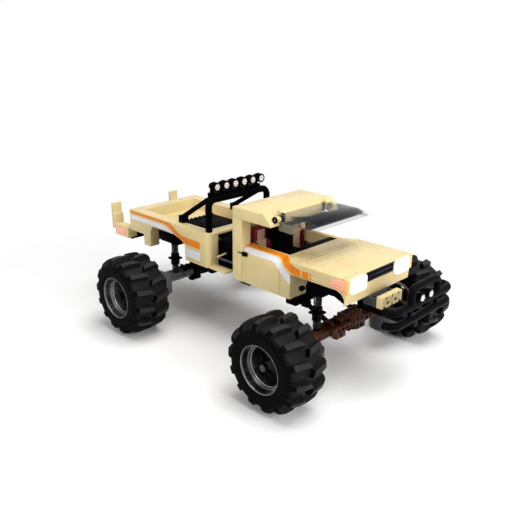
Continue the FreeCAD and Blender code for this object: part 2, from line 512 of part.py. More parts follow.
# ---- front bumper, winch ------------------------------------------------
tail = BUMP_X - BUMP_BEND - 2
bumper = []
for z in (BUMP_Z1, BUMP_Z2):
    bumper.append(bent_tube([(tail, -BUMP_Y, z), (BUMP_X, -BUMP_Y, z), (BUMP_X, BUMP_Y, z), (tail, BUMP_Y, z)], BUMP_R, BUMP_BEND))
bumper.append(bent_tube([(BUMP_X, -GUARD_Y, BUMP_Z2), (BUMP_X, -GUARD_Y, GUARD_Z), (BUMP_X, GUARD_Y, GUARD_Z), (BUMP_X, GUARD_Y, BUMP_Z2)],
                        GUARD_R, GUARD_BEND))
for y in (-GUARD_Y, GUARD_Y):
    bumper.append(box(BUMP_X - 2, BUMP_X + 2, y - 2, y + 2, BUMP_Z1, BUMP_Z2))
lamp_face = BUMP_X + BUMP_R - 1
for name, s in SIDES:
    bumper.append(box(sled_x0, BUMP_X + 2, s * (SLED_Y - PLATE), s * (SLED_Y + PLATE), SLED_Z - STUD, SLED_Z))
    bumper.append(rod((lamp_face - 9, s * (LAMP_R + 2.6), BUMP_Z2 + 5), (lamp_face, s * (LAMP_R + 2.6), BUMP_Z2 + 5), LAMP_R - 0.4))
nodes["front_bumper"] = join(bumper)
winch_x = NOSE_X - STUD
winch_z = nose_z - SEAM
drum_r = (winch_z - SLED_Z) / 2 - 0.4
winch = [box(winch_x, NOSE_X + 1, -20, 20, SLED_Z, winch_z),
         rod((NOSE_X + 4, -18, SLED_Z + drum_r), (NOSE_X + 4, 18, SLED_Z + drum_r), drum_r)]
for s in (-1, 1):
    winch.append(box(winch_x + 2, NOSE_X + 10, s * 17, s * 20, SLED_Z, winch_z))
nodes["winch"] = join(winch)
fairlead = box(NOSE_X + 10, NOSE_X + 10 + STUD, -20, 20, SLED_Z, SLED_Z + 13.6)
for s in (-1, 1):
    fairlead = fairlead.cut(rod((NOSE_X + 9, s * STUD, SLED_Z + 5), (NOSE_X + 20, s * STUD, SLED_Z + 5), HOLE_R))
nodes["fairlead"] = fairlead

# ---- rear end -----------------------------------------------------------
beam = []
for s in (-1, 1):
    y0, y1 = s * (RAIL_Y + RAIL_W / 2), s * (RAIL_Y - RAIL_W / 2)
    beam.append(box(REAR_X + 12, rail_x0 + STUD, y0, y1, BODY_Z, BODY_Z + RAIL_HIGH))
beam.append(box(REAR_X + 12, REAR_X + 28, -BED_Y, BED_Y, BODY_Z - 8, BODY_Z + 8))
nodes["rear_beam"] = join(beam)
post_y = HB - BED_RIM
for name, s in SIDES:
    y0, y1 = s * post_y, s * HB
    post = join([box(REAR_X, REAR_X + 4, y0, y1, SEAM_Z - 16, BELT_Z),
                 box(REAR_X + 4, REAR_X + 8, y0, y1, BED_REAR_Z, SEAM_Z),
                 box(REAR_X + 8, REAR_X + 42, y0, y1, BODY_Z, BED_REAR_Z),
                 box(REAR_X, REAR_X + 8, y0, y1, BODY_Z + 8, BED_REAR_Z)])
    lens = box(REAR_X + 12, REAR_X + 34, s * (HB - 3), s * (HB + 0.6), BODY_Z + 2, BED_REAR_Z - 2)
    nodes["rear_post_" + name] = post.cut(lens)
    nodes["tail_lamp_" + name] = lens

# ---- export -------------------------------------------------------------
os.makedirs("parts", exist_ok=True)
for name in nodes:
    shape = nodes[name].copy()
    shape.translate(V(MID_SHIFT, 0, 0))
    shape.exportStep("parts/" + name + ".step")
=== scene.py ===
# %% [markdown]
# # A brick-built toy crawler pick-up
# The solid model of the truck is already made and packed. This lesson dresses it: it sets the camera and
# the lamps, gives every piece a moulded plastic, rubber or clear finish, and models the small things that a
# solid model leaves out, such as tyre lugs, springs and lamp glass. Everything is in metres.

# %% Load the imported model
import json
import math

import bmesh
import bpy
from mathutils import Matrix, Vector


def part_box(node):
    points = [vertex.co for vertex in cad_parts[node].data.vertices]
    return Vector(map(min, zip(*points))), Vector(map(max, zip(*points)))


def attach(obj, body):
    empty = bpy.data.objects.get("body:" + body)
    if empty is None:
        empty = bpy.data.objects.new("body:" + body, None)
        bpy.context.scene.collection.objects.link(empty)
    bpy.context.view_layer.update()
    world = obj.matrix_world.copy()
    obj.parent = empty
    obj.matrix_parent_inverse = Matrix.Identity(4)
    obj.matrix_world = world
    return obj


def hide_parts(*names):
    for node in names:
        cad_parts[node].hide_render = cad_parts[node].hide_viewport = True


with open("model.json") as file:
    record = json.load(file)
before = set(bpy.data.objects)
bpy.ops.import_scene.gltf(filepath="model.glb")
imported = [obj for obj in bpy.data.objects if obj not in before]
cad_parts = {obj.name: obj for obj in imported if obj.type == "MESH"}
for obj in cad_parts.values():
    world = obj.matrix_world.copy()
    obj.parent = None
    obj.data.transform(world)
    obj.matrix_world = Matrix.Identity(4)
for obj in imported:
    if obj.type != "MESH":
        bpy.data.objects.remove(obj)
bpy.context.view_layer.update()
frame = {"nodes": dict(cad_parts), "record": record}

MM = 0.001
scene = bpy.context.scene

# %% [markdown]
# ## A ruler for the truck
# The designer measured the truck from the middle of its wheelbase, so the same ruler is handy here. The
# middle lies half way between the front and rear tyres, and `mm` turns three sizes in millimetres from
# there into a place in the model. The record says which body carries a solid and what the solid is made of.

# %% Ruler
def middle_of(node):
    low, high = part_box(node)
    return (low + high) / 2


MIDDLE = (middle_of("tyre_front_right").x + middle_of("tyre_rear_right").x) / 2
HALF_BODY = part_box("hood")[1].y / MM
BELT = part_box("hood")[1].z / MM
SIDES = (("right", -1), ("left", 1))
ENDS = ("front", "rear")
CORNERS = [end + "_" + side for end in ENDS for side, way in SIDES]
BODIES = frame["record"]["behaviour"]["bodies"]
BODY_OF = {node: body for body, members in BODIES.items() for node in members}
SLOT_OF = {row["node"]: row["material_slot"] for row in frame["record"]["subparts"]}


def mm(x, y, z):
    return Vector((MIDDLE + x * MM, y * MM, z * MM))


def ahead(node, end):
    # how far a node's rear (0) or front (1) end lies ahead of the middle, in millimetres
    return (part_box(node)[end].x - MIDDLE) / MM


print("half width", round(HALF_BODY, 2), "belt height", round(BELT, 2))

# %% [markdown]
# ## Camera
# The truck is seen from its front right corner, from a little above, as a collector would look at it on a
# table. A lens of 44 mm is close to what the eye sees. The place is given by an azimuth and an elevation.

# %% Camera
CAMERA_AT = mm(548.33, -578.23, 391.22)
CAMERA_AZIMUTH = math.radians(-45.19)
CAMERA_ELEVATION = math.radians(19.45)
CAMERA_ROLL = math.radians(0.26)

towards = -Vector((math.cos(CAMERA_ELEVATION) * math.cos(CAMERA_AZIMUTH),
                   math.cos(CAMERA_ELEVATION) * math.sin(CAMERA_AZIMUTH),
                   math.sin(CAMERA_ELEVATION)))
camera_data = bpy.data.cameras.new("camera")
camera_data.lens = 44.07
camera_data.sensor_width = 36.0
camera_data.clip_start = 0.01
camera = bpy.data.objects.new("camera", camera_data)
scene.collection.objects.link(camera)
turn = towards.to_track_quat("-Z", "Y").to_matrix().to_4x4() @ Matrix.Rotation(CAMERA_ROLL, 4, "Z")
camera.matrix_world = Matrix.Translation(CAMERA_AT) @ turn
scene.camera = camera
print("camera at", [round(v, 3) for v in CAMERA_AT])

# %% [markdown]
# ## Node helpers
# The world, the table and every finish are made of nodes, so a few helpers keep the cells short. One adds a
# node, one adds a Math node, one splits a coordinate into X, Y and Z, and one starts a material. The last
# one tells rays that look at a thing from rays that light it.

# %% Node helpers
def add(tree, kind, **settings):
    node = tree.nodes.new(kind)
    for key, value in settings.items():
        setattr(node, key, value)
    return node


def maths(tree, operation, first, second=0.0, third=0.0, clamp=False):
    node = add(tree, "ShaderNodeMath", operation=operation, use_clamp=clamp)
    for slot, value in zip(node.inputs, (first, second, third)):
        if isinstance(value, (int, float)):
            slot.default_value = value
        else:
            tree.links.new(value, slot)
    return node.outputs[0]


def split(tree, kind="Object"):
    node = add(tree, "ShaderNodeSeparateXYZ")
    tree.links.new(add(tree, "ShaderNodeTexCoord").outputs[kind], node.inputs[0])
    return node.outputs


def new_material(name):
    material = bpy.data.materials.new(name)
    material.use_nodes = True
    tree = material.node_tree
    return material, tree, tree.nodes["Principled BSDF"]


def looking_rays(tree):
    # one for rays of the camera, of gloss and of clear plastic, and zero for the light that falls on things
    rays = add(tree, "ShaderNodeLightPath").outputs
    seen = maths(tree, "ADD", rays["Is Camera Ray"], rays["Is Glossy Ray"])
    return maths(tree, "ADD", seen, rays["Is Transmission Ray"], clamp=True)


print("node helpers ready")

# %% [markdown]
# ## Studio
# A collector's toy is shown on a plain pale table with soft light all round and no hard shadow. The world
# gives most of the light. The camera, gloss and clear plastic see a white backdrop, while the light that
# falls on the toy stays at a plain level.

# %% World light
FILL = 0.42
BACKDROP = 1.0
world = bpy.data.worlds.new("studio")
scene.world = world
world.use_nodes = True
tree = world.node_tree
tree.nodes.clear()
choose = add(tree, "ShaderNodeMixShader")
tree.links.new(looking_rays(tree), choose.inputs["Fac"])
for slot, strength in ((1, FILL), (2, BACKDROP)):
    light = add(tree, "ShaderNodeBackground")
    light.inputs["Color"].default_value = (1.0, 1.0, 1.0, 1.0)
    light.inputs["Strength"].default_value = strength
    tree.links.new(light.outputs[0], choose.inputs[slot])
world_out = add(tree, "ShaderNodeOutputWorld")
tree.links.new(choose.outputs[0], world_out.inputs["Surface"])
scene.view_settings.view_transform = "Standard"
print("fill light", FILL, "backdrop", BACKDROP)

# %% [markdown]
# ## Table
# The table is one large flat square, which is a grid of a single face. It is staging and not part of the
# truck.

# %% Table top
TABLE_HALF = 6.0
floor_mesh = bpy.data.meshes.new("table_top")
shape = bmesh.new()
bmesh.ops.create_grid(shape, x_segments=1, y_segments=1, size=TABLE_HALF)
shape.to_mesh(floor_mesh)
shape.free()
floor = bpy.data.objects.new("table_top", floor_mesh)
scene.collection.objects.link(floor)
print("table is", 2 * TABLE_HALF, "m wide")

# %% [markdown]
# The table is pale and matt. Near the truck it is lit like anything else, so it takes the truck's soft
# shadow. Further out it turns into a plain white glow that only the camera, gloss and clear plastic see,
# so that no far edge of the table shows.

# %% Table finish
SHADOW_TO, GLOW_FROM = 0.30, 0.62
pale, tree, surface = new_material("pale_table")
surface.inputs["Base Color"].default_value = (0.93, 0.93, 0.93, 1.0)
surface.inputs["Roughness"].default_value = 0.9
surface.inputs["Specular IOR Level"].default_value = 0.0
place = split(tree)
squares = [maths(tree, "POWER", place[axis], 2.0) for axis in "XY"]
far = add(tree, "ShaderNodeMapRange", interpolation_type="SMOOTHSTEP")
tree.links.new(maths(tree, "SQRT", maths(tree, "ADD", *squares)), far.inputs["Value"])
far.inputs["From Min"].default_value = SHADOW_TO
far.inputs["From Max"].default_value = GLOW_FROM
glow = add(tree, "ShaderNodeEmission")
blend = add(tree, "ShaderNodeMixShader")
tree.links.new(maths(tree, "MULTIPLY", looking_rays(tree), far.outputs["Result"]), blend.inputs["Fac"])
tree.links.new(surface.outputs[0], blend.inputs[1])
tree.links.new(glow.outputs[0], blend.inputs[2])
tree.links.new(blend.outputs[0], tree.nodes["Material Output"].inputs["Surface"])
floor_mesh.materials.append(pale)
print("table finish", pale.name)

# %% [markdown]
# ## Lamps
# Three square lamps give the light a direction: a wide one from above, a small one from the near side and
# one from ahead. They are large for a toy of this size, so the shadows stay soft, and each is aimed at the
# middle of the truck with a tracking rotation.

# %% Lamps
AIM = Vector((0, 0, 0.1))


def softbox(name, at, size, watts):
    lamp_data = bpy.data.lights.new(name, "AREA")
    lamp_data.shape = "SQUARE"
    lamp_data.size = size
    lamp_data.energy = watts
    lamp = bpy.data.objects.new(name, lamp_data)
    scene.collection.objects.link(lamp)
    aimed = (AIM - Vector(at)).to_track_quat("-Z", "Y").to_matrix().to_4x4()
    lamp.matrix_world = Matrix.Translation(at) @ aimed
    print(name, watts, "W")


softbox("top_lamp", (0.35, 0.1, 1.7), 1.3, 23.0)
softbox("side_lamp", (0.1, -1.6, 0.6), 0.45, 6.5)
softbox("front_lamp", (1.7, 0.1, 0.8), 0.9, 16.0)

# %% [markdown]
# ## Finishes
# Bricks are moulded in solid colours, so each finish is one colour with what years of play add to it: a
# faint mottle in the colour, a gloss that is duller in patches, and a skin that is never quite flat. All of
# it comes from noise on Object coordinates, which stays with a piece when it moves.

# %% Colour and skin helpers
def mottle(tree, scale, detail=3.0):
    coordinates = add(tree, "ShaderNodeTexCoord")
    noise = add(tree, "ShaderNodeTexNoise")
    noise.inputs["Scale"].default_value = scale
    noise.inputs["Detail"].default_value = detail
    tree.links.new(coordinates.outputs["Object"], noise.inputs["Vector"])
    return noise.outputs["Fac"]


def ranged(tree, value, low, high):
    node = add(tree, "ShaderNodeMapRange")
    tree.links.new(value, node.inputs["Value"])
    node.inputs["From Min"].default_value = 0.3
    node.inputs["From Max"].default_value = 0.7
    node.inputs["To Min"].default_value = low
    node.inputs["To Max"].default_value = high
    return node.outputs["Result"]


def patches(tree, scale, low=0.0, high=1.0):
    return ranged(tree, mottle(tree, scale), low, high)


def mixed(tree, factor, first, second):
    # first and second are colours or sockets; the result is the second where factor is one
    node = add(tree, "ShaderNodeMix", data_type="RGBA")
    slots = (node.inputs["Factor"], node.inputs["A"], node.inputs["B"])
    for slot, value in zip(slots, (factor, first, second)):
        if isinstance(value, tuple):
            slot.default_value = (*value, 1.0)
        elif isinstance(value, float):
            slot.default_value = value
        else:
            tree.links.new(value, slot)
    return node.outputs["Result"]


def raised(tree, surface, height, distance):
    bump = add(tree, "ShaderNodeBump")
    bump.inputs["Strength"].default_value = 0.5
    bump.inputs["Distance"].default_value = distance
    tree.links.new(height, bump.inputs["Height"])
    tree.links.new(bump.outputs["Normal"], surface.inputs["Normal"])


print("finish helpers ready")

# %% [markdown]
# One function makes every moulded plastic from a colour, a gloss and a strength of reflection. Dark pieces
# have a weak reflection, because black toys would look grey otherwise. A second function may paint on the
# colour, which the stripes, the seats and the rear axle use.

# %% Moulded plastic
def plastic(name, colour, gloss=0.3, specular=0.16, variation=0.05, paint=None):
    material, tree, surface = new_material(name)
    deep = tuple(c * (1 - variation) for c in colour)
    base = mixed(tree, patches(tree, 60.0), deep, colour)
    if paint:
        base = paint(tree, base)
    tree.links.new(base, surface.inputs["Base Color"])
    tree.links.new(patches(tree, 90.0, gloss - 0.06, gloss + 0.1), surface.inputs["Roughness"])
    surface.inputs["Specular IOR Level"].default_value = specular
    raised(tree, surface, mottle(tree, 240.0, 1.0), 0.000012)
    return material


TAN = (0.73, 0.585, 0.295)
BLACK = (0.0018, 0.0018, 0.0028)
finish = {
    "black": plastic("black_plastic", BLACK, 0.4, specular=0.03, variation=0.3),
    "black_matt": plastic("matt_black_plastic", (0.0016, 0.0016, 0.0024), 0.5, specular=0.008, variation=0.3),
    "black_gloss": plastic("black_gloss_plastic", (0.0025, 0.0025, 0.003), 0.16, 0.035, variation=0.3),
    "dark_grey": plastic("dark_grey_plastic", (0.055, 0.058, 0.062), 0.34, specular=0.1),
    "grey": plastic("grey_plastic", (0.21, 0.225, 0.225), 0.32, specular=0.12),
    "brown": plastic("reddish_brown_plastic", (0.115, 0.040, 0.0180), 0.38, specular=0.07, variation=0.8),
    "navy": plastic("dark_blue_plastic", (0.012, 0.014, 0.030), 0.3, specular=0.12, variation=0.3),
    "navy_gloss": plastic("navy_gloss_plastic", (0.003, 0.004, 0.010), 0.18, specular=0.12, variation=0.3),
    "blue_grey": plastic("blue_grey_plastic", (0.060, 0.070, 0.105), 0.3, specular=0.12),
    "spring": plastic("spring_steel", (0.012, 0.012, 0.013), 0.3, specular=0.15),
    "tan": plastic("tan_plastic", TAN),
    # a darker tan for recessed faces: painted shade
    "tan_painted_shade": plastic("tan_plastic_painted_recess_shade", (0.50, 0.37, 0.19)),
}
print("plain plastics", sorted(finish))

# %% [markdown]
# ## Stripes
# Two stickers run along each side: an orange stripe over a white one. They are colour only, so they belong
# in the finish and not in the mesh. A curve node gives the height of each edge for every place along the
# truck, and a point is orange where it lies between the two edges.

# %% Stripe edges
CURVE_LOW, CURVE_SPAN = 80.0, 80.0


def edge_height(tree, along, points):
    start, length = points[0][0], points[-1][0] - points[0][0]
    node = add(tree, "ShaderNodeFloatCurve")
    curve = node.mapping.curves[0]
    while len(curve.points) < len(points):
        curve.points.new(0.5, 0.5)
    for dot, (x, height) in zip(curve.points, points):
        dot.location = ((x - start) / length, (height - CURVE_LOW) / CURVE_SPAN)
        dot.handle_type = "VECTOR"
    node.mapping.update()
    tree.links.new(maths(tree, "DIVIDE", maths(tree, "SUBTRACT", along, start), length), node.inputs["Value"])
    return maths(tree, "MULTIPLY_ADD", node.outputs["Value"], CURVE_SPAN, CURVE_LOW)


def both(tree, first, second):
    return maths(tree, "MULTIPLY", first, second)


def between(tree, value, low, high):
    return both(tree, maths(tree, "GREATER_THAN", value, low), maths(tree, "LESS_THAN", value, high))


def stripe(tree, spot, low_edge, high_edge):
    along, height, skin = spot
    band = between(tree, height, edge_height(tree, along, low_edge), edge_height(tree, along, high_edge))
    return both(tree, both(tree, band, skin), between(tree, along, low_edge[0][0], low_edge[-1][0]))


def without(tree, band, gap):
    return both(tree, band, maths(tree, "SUBTRACT", 1.0, gap))


print("edge curves run from", CURVE_LOW, "to", CURVE_LOW + CURVE_SPAN, "mm")

# %% [markdown]
# Where the door top is rounded, height is measured round the curve, as a sticker is laid. The shoulder of
# the body is a quarter circle, so the angle round it times its radius gives the way that the sticker runs.
# Its radius shrinks towards the front wing, and only the outer skin takes the sticker.

# %% Place on the side
SKIN = 0.5


def side_place(tree, corner, shrinks):
    # place along the truck, height round the shoulder, and one where the outer skin is
    place = split(tree)
    along = maths(tree, "MULTIPLY", maths(tree, "SUBTRACT", place["X"], MIDDLE), 1000.0)
    out = maths(tree, "MULTIPLY", maths(tree, "ABSOLUTE", place["Y"]), 1000.0)
    up = maths(tree, "MULTIPLY", place["Z"], 1000.0)
    shrink = add(tree, "ShaderNodeMapRange")
    tree.links.new(along, shrink.inputs["Value"])
    for key, value in zip(("From Min", "From Max", "To Min", "To Max"), (*shrinks, corner, 1.0)):
        shrink.inputs[key].default_value = value
    bend = shrink.outputs["Result"]
    spring = maths(tree, "SUBTRACT", BELT, bend)
    rise = maths(tree, "MAXIMUM", maths(tree, "SUBTRACT", up, spring), 0.0)
    past_centre = maths(tree, "ADD", maths(tree, "SUBTRACT", out, HALF_BODY), bend)
    reach = maths(tree, "MAXIMUM", past_centre, 0.001)
    angle = maths(tree, "ARCTAN2", rise, reach)
    height = maths(tree, "ADD", maths(tree, "MINIMUM", up, spring), maths(tree, "MULTIPLY", angle, bend))
    squares = [maths(tree, "POWER", side, 2.0) for side in (rise, reach)]
    depth = maths(tree, "SQRT", maths(tree, "ADD", *squares))
    skin = maths(tree, "GREATER_THAN", depth, maths(tree, "SUBTRACT", bend, SKIN))
    return along, height, skin


print("outer skin", SKIN, "mm")

# %% [markdown]
# The bed carries a long orange stripe that steps down towards the cab, a white one below it that ends in a
# point at the step, and a short white patch low at the front. Every edge is a row of corners, given as
# millimetres ahead of the middle and height. A thin gap in the white one shows where two stickers meet.

# %% Bed stripes
BED_ORANGE_LOW = [(-230, 137), (-150, 137.2), (-140.3, 135.6), (-132, 132), (-123, 127.2), (-113, 122.3),
                  (-104.5, 119.3), (-96.7, 117.5), (-69.5, 117.2)]
BED_ORANGE_HIGH = [(-230, 141.3), (-150, 141.3), (-134.4, 141), (-125, 136.6), (-117.2, 132), (-109.4, 128.8),
                   (-102, 127.6), (-96, 127.4), (-69.5, 127.4)]
BED_WHITE_LOW = [(-230, 128.2), (-160, 128.2), (-148, 128.2), (-138, 127.4), (-125, 126.3)]
BED_WHITE_HIGH = [(-230, 134.2), (-156, 134.6), (-144.6, 133.7), (-133.8, 130.1), (-125, 126.4)]
BED_PATCH_LOW, BED_PATCH_HIGH = [(-100.5, 100.5), (-69.5, 100.5)], [(-100.5, 112.6), (-69.5, 112.6)]
BED_GAP = (-183.0, -181.6)
BED_CORNER, BED_SHRINKS = 1.0, (0.0, 1.0)
ORANGE = (0.80, 0.225, 0.001)
WHITE = (0.77, 0.78, 0.82)


def bed_stripes(tree, base):
    spot = side_place(tree, BED_CORNER, BED_SHRINKS)
    orange = stripe(tree, spot, BED_ORANGE_LOW, BED_ORANGE_HIGH)
    white = stripe(tree, spot, BED_WHITE_LOW, BED_WHITE_HIGH)
    white = without(tree, white, between(tree, spot[0], *BED_GAP))
    patch = stripe(tree, spot, BED_PATCH_LOW, BED_PATCH_HIGH)
    base = mixed(tree, orange, base, ORANGE)
    return mixed(tree, maths(tree, "MAXIMUM", white, patch), base, WHITE)


finish["bed"] = plastic("tan_plastic_bed_stripes", TAN, paint=bed_stripes)
print("bed stripes", finish["bed"].name)

# %% [markdown]
# On the cab the same two stripes start at the rear of the door, run level below the window and drop in a
# slant. The orange one goes on along the wing, with two thin gaps between its stickers.

# %% Cab stripes
CAB_ORANGE_LOW = [(11.7, 144.3), (15, 143.8), (62, 143.8), (66, 144), (71.9, 142.5), (77, 139.7),
                  (85.6, 134.2), (93.8, 128.9), (101, 127.2), (125.6, 127.1)]
CAB_ORANGE_HIGH = [(11.7, 148.0), (15, 151.2), (60, 151.2), (75, 151.2), (81.5, 148.4), (89.6, 143.0),
                   (95.7, 139.6), (102.4, 136.8), (109.5, 136.0), (125.6, 135.8)]
CAB_WHITE_LOW = [(12.6, 136.6), (23.6, 135), (48, 134.8), (62.7, 135), (68.2, 133.4), (76.7, 125.9),
                 (83.8, 119.7), (93.4, 113.5)]
CAB_WHITE_HIGH = [(12.6, 141.6), (18, 142.4), (43, 142.5), (63, 142), (69.9, 140.6), (75.6, 137.2),
                  (83.5, 131.3), (93.4, 124.2)]
WING_GAPS = ((110.0, 111.6), (121.8, 123.4))
CAB_CORNER, CAB_SHRINKS = 15.6, (77.0, 96.0)


def cab_stripes(tree, base):
    spot = side_place(tree, CAB_CORNER, CAB_SHRINKS)
    orange = stripe(tree, spot, CAB_ORANGE_LOW, CAB_ORANGE_HIGH)
    for gap in WING_GAPS:
        orange = without(tree, orange, between(tree, spot[0], *gap))
    white = stripe(tree, spot, CAB_WHITE_LOW, CAB_WHITE_HIGH)
    base = mixed(tree, orange, base, ORANGE)
    return mixed(tree, white, base, WHITE)


finish["cab"] = plastic("tan_plastic_cab_stripes", TAN, paint=cab_stripes)
print("cab stripes", finish["cab"].name)

# %% [markdown]
# ## Rubber
# Rubber is matt and soft, with a fine grain. Its side walls are painted a deeper black than the tread, chosen
# by the direction that a face looks in, as painted shade. The tops of the lugs are painted palest of all as a
# painted highlight, so they get a finish of their own.

# %% Rubber
def rubber():
    material, tree, surface = new_material("matt_rubber")
    # faces that look sideways are the side walls, painted darker as painted shade
    wall = ranged(tree, maths(tree, "ABSOLUTE", split(tree, "Normal")["Y"]), 0.0, 1.0)
    tread = mixed(tree, patches(tree, 45.0), (0.0060, 0.0060, 0.0062), (0.0100, 0.0100, 0.0104))
    tree.links.new(mixed(tree, wall, tread, (0.0022, 0.0022, 0.0023)), surface.inputs["Base Color"])
    tree.links.new(patches(tree, 200.0, 0.46, 0.6), surface.inputs["Roughness"])
    tree.links.new(maths(tree, "MULTIPLY_ADD", wall, -0.055, 0.07), surface.inputs["Specular IOR Level"])
    raised(tree, surface, mottle(tree, 500.0, 2.0), 0.00006)
    return material


finish["rubber"] = rubber()
# lug tops painted paler: a painted highlight
finish["tread_top"] = plastic("lug_top_painted_highlight_rubber", (0.0215, 0.0215, 0.0220), 0.5, specular=0.08,
                              variation=0.2)
print("rubber", finish["rubber"].name, finish["tread_top"].name)

# %% [markdown]
# ## Dark chrome and lamp mirrors
# The rims have a dark chrome coat, which is a metal with a low colour. The barrel inside the dish gets a coat
# a step brighter, which is a painted highlight. The mirrors of the round lamps are warm and finely pebbled.

# %% Metal coats
def metal(name, deep, bright, grain, metallic, smooth, rough, bump):
    # grain is the scale of the patches in the colour and in the gloss
    material, tree, surface = new_material(name)
    tree.links.new(mixed(tree, patches(tree, grain[0]), deep, bright), surface.inputs["Base Color"])
    surface.inputs["Metallic"].default_value = metallic
    tree.links.new(patches(tree, grain[1], smooth, rough), surface.inputs["Roughness"])
    scale, detail, distance = bump
    raised(tree, surface, mottle(tree, scale, detail), distance)
    return material


CHROME_GRAIN, CHROME_BUMP = (80.0, 160.0), (150.0, 1.0, 0.00001)
MIRROR_GRAIN, MIRROR_BUMP = (600.0, 300.0), (700.0, 3.0, 0.0001)
finish["dark_chrome"] = metal("dark_chrome", (0.15, 0.15, 0.155), (0.19, 0.19, 0.195), CHROME_GRAIN, 1.0,
                              0.24, 0.34, CHROME_BUMP)
# a brighter copy of the chrome: painted highlight for the inside of the barrel
finish["barrel_chrome_painted_highlight"] = metal("barrel_chrome_painted_highlight", (0.20, 0.20, 0.204), (0.26, 0.26, 0.264), CHROME_GRAIN, 1.0,
                                0.20, 0.28, CHROME_BUMP)
finish["mirror"] = metal("lamp_mirror", (0.34, 0.30, 0.27), (0.62, 0.57, 0.53), MIRROR_GRAIN, 0.8,
                         0.15, 0.3, MIRROR_BUMP)
print("metal coats", finish["dark_chrome"].name, finish["barrel_chrome_painted_highlight"].name, finish["mirror"].name)

# %% [markdown]
# ## Smoke-coloured windscreen
# The raised windscreen is one clear moulding, so part of what lies behind it shows. Its cheeks are milky, and
# the front half of its top carries a dark band of painted shade, standing for the shade behind the screen,
# whose rear edge swings back at the sides. Alpha makes it clear, because that is the plainest way to a thin
# sheet that hides a part of what is behind it.

# %% Smoke plastic
BAND_REAR, BAND_FRONT = 34 * MM, 6.2 * MM
BAND_STRAIGHT, CHEEK_Y = 26 * MM, 45 * MM
TOP_DEPTH, CHEEK_DEPTH = 6 * MM, 10 * MM


def smoke():
    material, tree, surface = new_material("smoke_clear_plastic")
    low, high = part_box("windscreen")
    place = split(tree)
    along, across, up = place["X"], maths(tree, "ABSOLUTE", place["Y"]), place["Z"]
    swing = maths(tree, "MAXIMUM", maths(tree, "SUBTRACT", across, BAND_STRAIGHT), 0.0)
    start = maths(tree, "GREATER_THAN", maths(tree, "ADD", along, swing), low.x + BAND_REAR)
    end = maths(tree, "LESS_THAN", along, high.x - BAND_FRONT)
    on_top = maths(tree, "GREATER_THAN", up, high.z - TOP_DEPTH)
    top = both(tree, on_top, maths(tree, "LESS_THAN", across, CHEEK_Y))
    band = both(tree, both(tree, start, end), top)
    below = maths(tree, "LESS_THAN", up, high.z - CHEEK_DEPTH)
    cheek = both(tree, maths(tree, "GREATER_THAN", across, CHEEK_Y - 0.1 * MM), below)
    body = mixed(tree, patches(tree, 30.0), (0.16, 0.16, 0.17), (0.20, 0.20, 0.20))
    # the dark band is painted shade for the shade behind the screen
    body = mixed(tree, band, body, (0.008, 0.008, 0.010))
    tree.links.new(mixed(tree, cheek, body, (0.30, 0.28, 0.20)), surface.inputs["Base Color"])
    tree.links.new(patches(tree, 120.0, 0.08, 0.16), surface.inputs["Roughness"])
    surface.inputs["Specular IOR Level"].default_value = 0.06
    alpha = maths(tree, "MULTIPLY_ADD", cheek, 0.24, maths(tree, "MULTIPLY_ADD", band, 0.66, 0.2))
    tree.links.new(alpha, surface.inputs["Alpha"])
    raised(tree, surface, mottle(tree, 90.0), 0.00003)
    return material


finish["smoke"] = smoke()
print("windscreen", finish["smoke"].name)

# %% [markdown]
# ## Lamp glass
# The lamps are moulded with fine level ribs inside, which a wave texture gives in colour and in relief. A
# weak glow of their own stands in for the light that a real lens gathers and sends back.

# %% Lenses
def lens(name, deep, bright, ribs, glow_strength):
    material, tree, surface = new_material(name)
    wave = add(tree, "ShaderNodeTexWave", bands_direction="Z")
    wave.inputs["Scale"].default_value = ribs
    tree.links.new(add(tree, "ShaderNodeTexCoord").outputs["Object"], wave.inputs["Vector"])
    tree.links.new(mixed(tree, wave.outputs["Fac"], deep, bright), surface.inputs["Base Color"])
    tree.links.new(patches(tree, 150.0, 0.08, 0.2), surface.inputs["Roughness"])
    surface.inputs["Emission Color"].default_value = (*bright, 1.0)
    surface.inputs["Emission Strength"].default_value = glow_strength
    raised(tree, surface, wave.outputs["Fac"], 0.0002)
    return material


finish["lens_white"] = lens("headlight_glass", (0.9, 0.88, 0.8), (1.0, 1.0, 1.0), 120.0, 0.6)
finish["lens_amber"] = lens("amber_glass", (0.85, 0.35, 0.10), (1.0, 0.62, 0.25), 160.0, 0.1)
finish["lens_red"] = lens("red_glass", (0.88, 0.31, 0.20), (1.0, 0.50, 0.36), 90.0, 0.1)
finish["bulb"] = lens("bulb_glass", (0.62, 0.60, 0.57), (0.95, 0.93, 0.90), 400.0, 0.12)
print("lenses", [key for key in finish if key.startswith("lens")], "and bulb")

# %% [markdown]
# ## Seats and rear axle
# Both are one solid in two colours, so the second colour is painted on by place. A seat has dark red
# bolsters and a red rim round a tan middle. The rear axle is black in the middle with a grey tube on each
# side of it.

# %% Two-colour pieces
TUBE_FROM, TUBE_TO = 32 * MM, 84 * MM
SEAT_Y = middle_of("seat_left").y
HEAD_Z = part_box("seat_left")[1].z - 17 * MM
HEAD_RIM_Z = HEAD_Z + 13.5 * MM
BOLSTER_Y, HEAD_SIDE_Y = 8.8 * MM, 6.6 * MM


def tube_ends(tree, base):
    outer = between(tree, maths(tree, "ABSOLUTE", split(tree)["Y"]), TUBE_FROM, TUBE_TO)
    return mixed(tree, outer, base, (0.105, 0.107, 0.109))


